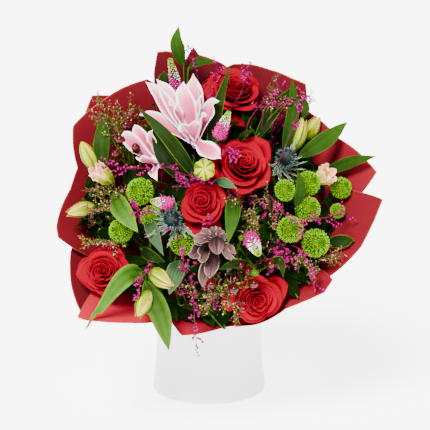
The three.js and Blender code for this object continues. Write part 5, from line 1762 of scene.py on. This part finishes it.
ROSES = [
    Rose(1, (31, 100, 196), 30, 0.4, (0, -0.35), guards=((-28, 1.25, 0.15), (24, 1.3, 0.1), (-100, 1.1, 0.4)),
        swing=(-80, 0.06)),
    Rose(2, (38.5, -7, 206), 32.5, 1.1, guards=((132, 1.5, 0.5), (96, 1.12, 0.4), (-85, 1.2, 0.3),
        (-25, 1.1, 0.1)), swing=(-100, 0.08)),
    Rose(3, (-6, -50, 195), 22.5, 2.0, guards=((-14, 1.5, 0.1), (12, 1.55, 0.05), (110, 1.1, 0.4))),
    Rose(4, (-110, -106, 148), 26, 0.2, (0.35, 0.2), guards=((-102, 1.2, 0.45), (149, 1.16, 0.4))),
    Rose(5, (51, -134, 132), 26, 2.8, (0, 0.05), guards=((112, 1.3, 0.3), (-92, 1.3, 0.2)),
        swing=(110, 0.06)),
]

LILIES = [
    StarFlower("lily_bloom_1", (-15, 22, 199), [((-64, 82, 224), 20, 3), ((-53, 87, 222), 20, 1),
        ((-28, 72, 236), 23, 2), ((-17, 104, 208), 25, -4), ((-8, 56, 238), 11, 2), ((9, 54, 226), 24, 7),
        ((12, -12, 217), 21, -2), ((-70, 50, 209), 19, 6), ((-39, 44, 234), 26, 8), ((-20, 22, 228), 26, 5),
        ((-3, 34, 228), 15, 6)], LILY_PETAL, "lily_pink", LILY_CUT, 0.7, (3,)),
    StarFlower("lily_bloom_2", (-54, 8, 180), [((-90, 33, 196), 17, 8), ((-78, 47, 193), 15, 4),
        ((-71, -4, 203), 14, 6), ((-53, -26, 199), 13, 6), ((-60, 30, 206), 14, 4)], LILY_PETAL, "lily_pink",
        LILY_CUT, 0.4, (1, 4)),
]
ORCHID = Orchid("orchid_bloom", (6, -76, 160), [((-6, -124, 150), 15, 3), ((2, -118, 158), 15, 5),
    ((-19, -100, 170), 15, 3), ((-8, -108, 172), 13, 4), ((-13, -86, 181), 13, 4), ((14, -80, 181), 13, 4),
    ((25, -104, 171), 9, 3)], ORCHID_TEPAL, "orchid_mauve", ORCHID_CUT, 3.0)

MUMS = [
    MumSpray("mum_spray_left", (-62, -50, 105), [(-71, -31, 184, 14), (-91, -62, 157, 12.5),
        (-60, -52, 169, 11), (-27, -76, 155, 12.5)]),
    MumSpray("mum_spray_right", (92, -38, 95), [(80, -29, 183, 11), (105, -13, 173, 12.5),
        (141, -1, 146, 11.5), (104, -41, 166, 13), (85, -66, 166, 13.5), (112, -71, 147, 14.5),
        (137, -27, 141, 8)]),
]
THISTLES = [
    Thistle(1, (-37, -66, 185), 8.5, (0.9, 0.4, 0)),
    Thistle(2, (81, 6, 192), 9, (-1.1, 0.7, 0)),
]
VERONICAS = [
    VeronicaSpike(1, (-32, 102, 162), (-41, 124, 206), 6.2, 0.56),
    VeronicaSpike(2, (11, 19, 213), (21, 29, 240), 5.6, 0.5),
    VeronicaSpike(3, (-40, -50, 190), (-57, -57, 205), 5.2, 0.5),
    VeronicaSpike(4, (43, -81, 175), (51, -108, 186), 6.4, 0.42),
]

LEAFY = [
    LeafyStem("alstroemeria_left", (-102, -4, 122), "alstroemeria_cream",
        [Leaf((-100, -24, 170), (-88, -58, 188), (-72, -79, 180), 21, LIGHT, BROAD),
        Leaf((-112, 6, 160), (-113, 38, 180), (-110, 76, 178), 18, MID, BROAD)],
        [BudBloom((-120, 14, 158), (-135, 36, 179), 8.5, ribbed=True),
        BudBloom((-99, -9, 166), (-121, -2, 186), 9.5, 0.3),
        BudBloom((-120, -26, 150), (-147, -44, 162), 7.5)], fillers=24, filler_reach=40),
    LeafyStem("alstroemeria_front", (-64, -104, 108), "alstroemeria_cream",
        [Leaf((-67, -102, 140), (-88, -118, 152), (-127, -161, 122), 20, LIGHT, TWISTED),
        Leaf((-66, -112, 138), (-49, -150, 133), (-40, -184, 120), 23, LIGHT, STRAP),
        Leaf((-64, -50, 170), (-57, -74, 172), (-46, -99, 167), 14, GREY, BROAD)],
        [BudBloom((-60, -106, 150), (-38, -130, 159), 9), BudBloom((-61, -124, 140), (-72, -152, 135), 8)]),
    LeafyStem("alstroemeria_centre", (-6, -12, 165), "alstroemeria_cream",
        [Leaf((8, -26, 198), (18, -34, 204), (29, -40, 204), 10, GREY, BROAD)],
        [BudBloom((-4, -20, 207), (-4, -34, 231), 11.5, ribbed=True)]),
    LeafyStem("alstroemeria_right", (98, 32, 126), "alstroemeria_cream",
        [Leaf((95, 20, 172), (124, 40, 176), (150, 70, 168), 18, MID, BROAD),
        Leaf((118, 20, 140), (150, 22, 160), (177, 18, 178), 13, MID, BROAD)],
        [BudBloom((87, 32, 166), (101, 60, 186), 10), BudBloom((104, 60, 150), (119, 78, 165), 8),
        BudBloom((113, 0, 156), (130, 2, 173), 9.5, 0.5)]),
    LeafyStem("lily_stem", (-20, 4, 160), "leaf_green",
        [Leaf((-11, -24, 196), (-41, 2, 232), (-73, 38, 238), 14, DARK, STRAP),
        Leaf((-22, -20, 186), (-49, 6, 200), (-58, 64, 206), 15, DARK, STRAP),
        Leaf((6, -8, 182), (7, 42, 208), (23, 95, 236), 14, DARK, STRAP)], stem_radius=2.6, fillers=26,
        filler_reach=55),
    LeafyStem("foliage_top", (-26, 96, 148), "leaf_dark",
        [Leaf((-27, 126, 192), (-34, 138, 214), (-32, 150, 232), 15, MID, BROAD),
        Leaf((-22, 124, 190), (-9, 130, 196), (7, 131, 192), 11, MID, BROAD),
        Leaf((-36, 100, 172), (-47, 112, 184), (-48, 122, 190), 15, DARK, BROAD)], fillers=16),
    LeafyStem("foliage_right_top", (76, 58, 138), "leaf_dark",
        [Leaf((50, 34, 186), (72, 66, 200), (96, 112, 180), 13, DARK, STRAP),
        Leaf((80, 24, 176), (90, 64, 198), (90, 108, 194), 14, MID, STRAP),
        Leaf((96, 88, 180), (103, 80, 180), (102, 72, 168), 12, MID, BROAD),
        Leaf((30, 24, 192), (38, 26, 206), (48, 34, 204), 6, DARK, BROAD)], fillers=30, filler_reach=52),
    LeafyStem("foliage_centre", (24, -52, 140), "leaf_dark",
        [Leaf((25, -36, 184), (25, -68, 198), (20, -98, 188), 16, MID, BROAD),
        Leaf((46, -98, 146), (28, -108, 166), (9, -112, 160), 9, DARK, BROAD),
        Leaf((62, -96, 148), (74, -99, 156), (78, -110, 142), 9, DARK, BROAD)], fillers=40, filler_reach=62),
    LeafyStem("foliage_right_low", (98, -62, 112), "leaf_dark",
        [Leaf((122, -60, 128), (142, -62, 136), (158, -66, 134), 14, DARK, BROAD),
        Leaf((92, -46, 172), (96, -28, 188), (93, -10, 192), 10, MID, STRAP)], fillers=28, filler_reach=45),
    LeafyStem("foliage_left_low", (-40, -96, 118), "leaf_dark",
        [Leaf((-29, -98, 156), (-34, -118, 162), (-40, -133, 146), 19, GREY, BROAD),
        Leaf((-70, -80, 150), (-60, -99, 168), (-44, -106, 166), 12, DARK, BROAD)], fillers=44,
        filler_reach=72),
]

BERRIES = [
    BerrySpray("hypericum_left", (-80, 22, 140), [(-86, 48, 190, 5), (-71, 60, 193, 4.3), (-92, 27, 194, 5.2),
        (-96, 12, 190, 5.2), (-76, 16, 196, 4.6), (-81, 62, 178, 4.4)]),
    BerrySpray("hypericum_front", (34, -112, 112), [(3, -124, 152, 5.6), (33, -106, 160, 4.6),
        (42, -112, 158, 5.5), (26, -133, 158, 5.5), (46, -128, 160, 5), (64, -104, 158, 5),
        (28, -114, 147, 4.4), (48, -119, 166, 3.8), (34, -86, 181, 3)], unripe=2),
]

SPRAYS = [
    TwigSpray("limonium_top", (-4, 66, 165), [[(-6, 51, 216), (-14, 124, 192), (-26, 145, 204)],
        [(4, 60, 214), (6, 102, 190), (9, 122, 203)], [(33, 58, 232), (36, 100, 206), (41, 113, 203)],
        [(17, 5, 214), (22, -10, 230), (28, -22, 234)]], TwigKind.STATICE, spread=10.0, branches=10),
    TwigSpray("limonium_right_top", (62, 26, 150), [[(40, 30, 206), (57, 60, 216), (84, 112, 180)],
        [(58, 52, 210), (74, 64, 206), (88, 74, 192)], [(72, -8, 202), (88, 24, 224), (104, 88, 196)]],
        TwigKind.STATICE, branches=9, scattered=2),
    TwigSpray("limonium_right", (80, -56, 125), [[(62, -46, 198), (76, -70, 204), (100, -80, 186)],
        [(96, -60, 170), (122, -54, 170), (145, -38, 152)], [(91, -84, 160), (103, -100, 152),
        (112, -112, 131)]], TwigKind.STATICE, branches=10),
    TwigSpray("limonium_left", (-56, -18, 148), [[(-60, -16, 200), (-83, -16, 204), (-105, -4, 196)],
        [(-46, -16, 204), (-29, -28, 214), (-12, -37, 217)], [(-56, -50, 176), (-70, -58, 190),
        (-77, -54, 192)]], TwigKind.STATICE, branches=10),
    TwigSpray("limonium_front", (-26, -112, 112), [[(-58, -102, 152), (-67, -121, 160), (-73, -137, 148)],
        [(-28, -120, 146), (-26, -112, 168), (-24, -98, 176)], [(-16, -128, 140), (-14, -154, 136),
        (-12, -176, 118)]], TwigKind.STATICE, spread=10.0, branches=11),
    TwigSpray("waxflower_left_top", (-92, 36, 132), [[(-92, 38, 180), (-108, 66, 186), (-122, 88, 182)],
        [(-98, 34, 172), (-110, 58, 182), (-120, 78, 172)]], TwigKind.WAXFLOWER),
    TwigSpray("waxflower_left", (-98, -44, 108), [[(-92, -40, 172), (-106, -32, 182), (-118, -23, 176)],
        [(-98, -46, 164), (-110, -46, 172), (-126, -44, 164)], [(-92, -74, 152), (-113, -74, 158),
        (-128, -73, 150)]], TwigKind.WAXFLOWER),
    TwigSpray("waxflower_top", (54, 62, 150), [[(57, 56, 200), (64, 76, 204), (73, 111, 190)],
        [(62, 50, 196), (78, 66, 202), (99, 102, 172)], [(72, 74, 178), (96, 86, 174), (111, 92, 172)]],
        TwigKind.WAXFLOWER, branches=10, scattered=1),
    TwigSpray("waxflower_right", (80, -82, 108), [[(55, -90, 160), (49, -77, 186), (43, -60, 198)],
        [(88, -90, 148), (98, -99, 154), (109, -103, 142)], [(110, -84, 128), (126, -82, 140),
        (137, -83, 135)]], TwigKind.WAXFLOWER),
    TwigSpray("waxflower_front", (14, -118, 104), [[(16, -126, 138), (6, -138, 146), (-1, -143, 142)],
        [(20, -128, 134), (23, -141, 142), (28, -150, 132)]], TwigKind.WAXFLOWER),
]


def paper_reach(angle: Array) -> Array:
    """Radius of the wrap's outermost rim on each side of the bouquet.

    Args:
        angle: the side, in radians.

    Returns:
        The radius, 0 where no sheet lies.
    """
    degrees = np.degrees(angle)
    reach = np.zeros_like(degrees)
    for sheet_ in PAPER:
        angles, radii = zip(*sheet_.rim)
        for turn in (-360, 0, 360):
            reach = np.maximum(reach, np.interp(degrees + turn, angles, radii, left=0, right=0))
    return reach


def clear_of_blooms(u: float, v: float) -> bool:
    """Whether a place on the dome lies beside the roses, mums, lilies and orchid."""
    blooms = [(*rose.centre[:2], 0.95 * rose.radius) for rose in ROSES]
    blooms += [(head[0], head[1], 0.8 * head[3]) for spray in MUMS for head in spray.heads]
    blooms += LILY_PLACES
    return all(math.hypot(u - bu, v - bv) > reach for bu, bv, reach in blooms)


def build_flower_stem(name: str, root: Array, way: Array) -> None:
    """Makes the bare stem of a flower that has no leaves.

    Args:
        name: the stem's node.
        root: the flower's foot.
        way: the way the flower faces.
    """
    piece = Piece(name)
    route = np.vstack((stem_to(root - way * 20), root - way * 8, root - way * 5))
    piece.add(tube(route, 2.0, 8), STEM_GREEN)
    piece.build("stem_green")


def main() -> None:
    """Builds the bouquet piece by piece."""
    logging.basicConfig(level=logging.INFO, format="%(name)s %(message)s")
    Studio().build()
    Vase().build()
    Tie().build()
    for sheet_ in PAPER:
        sheet_.build()
    for rose in ROSES:
        rose.build()
    for lily in LILIES:
        lily.build()
    build_flower_stem("orchid_stem", *ORCHID.build())
    for part in (*MUMS, *THISTLES, *VERONICAS, *LEAFY, *BERRIES, *SPRAYS):
        part.build()


if __name__ == "__main__":
    main()
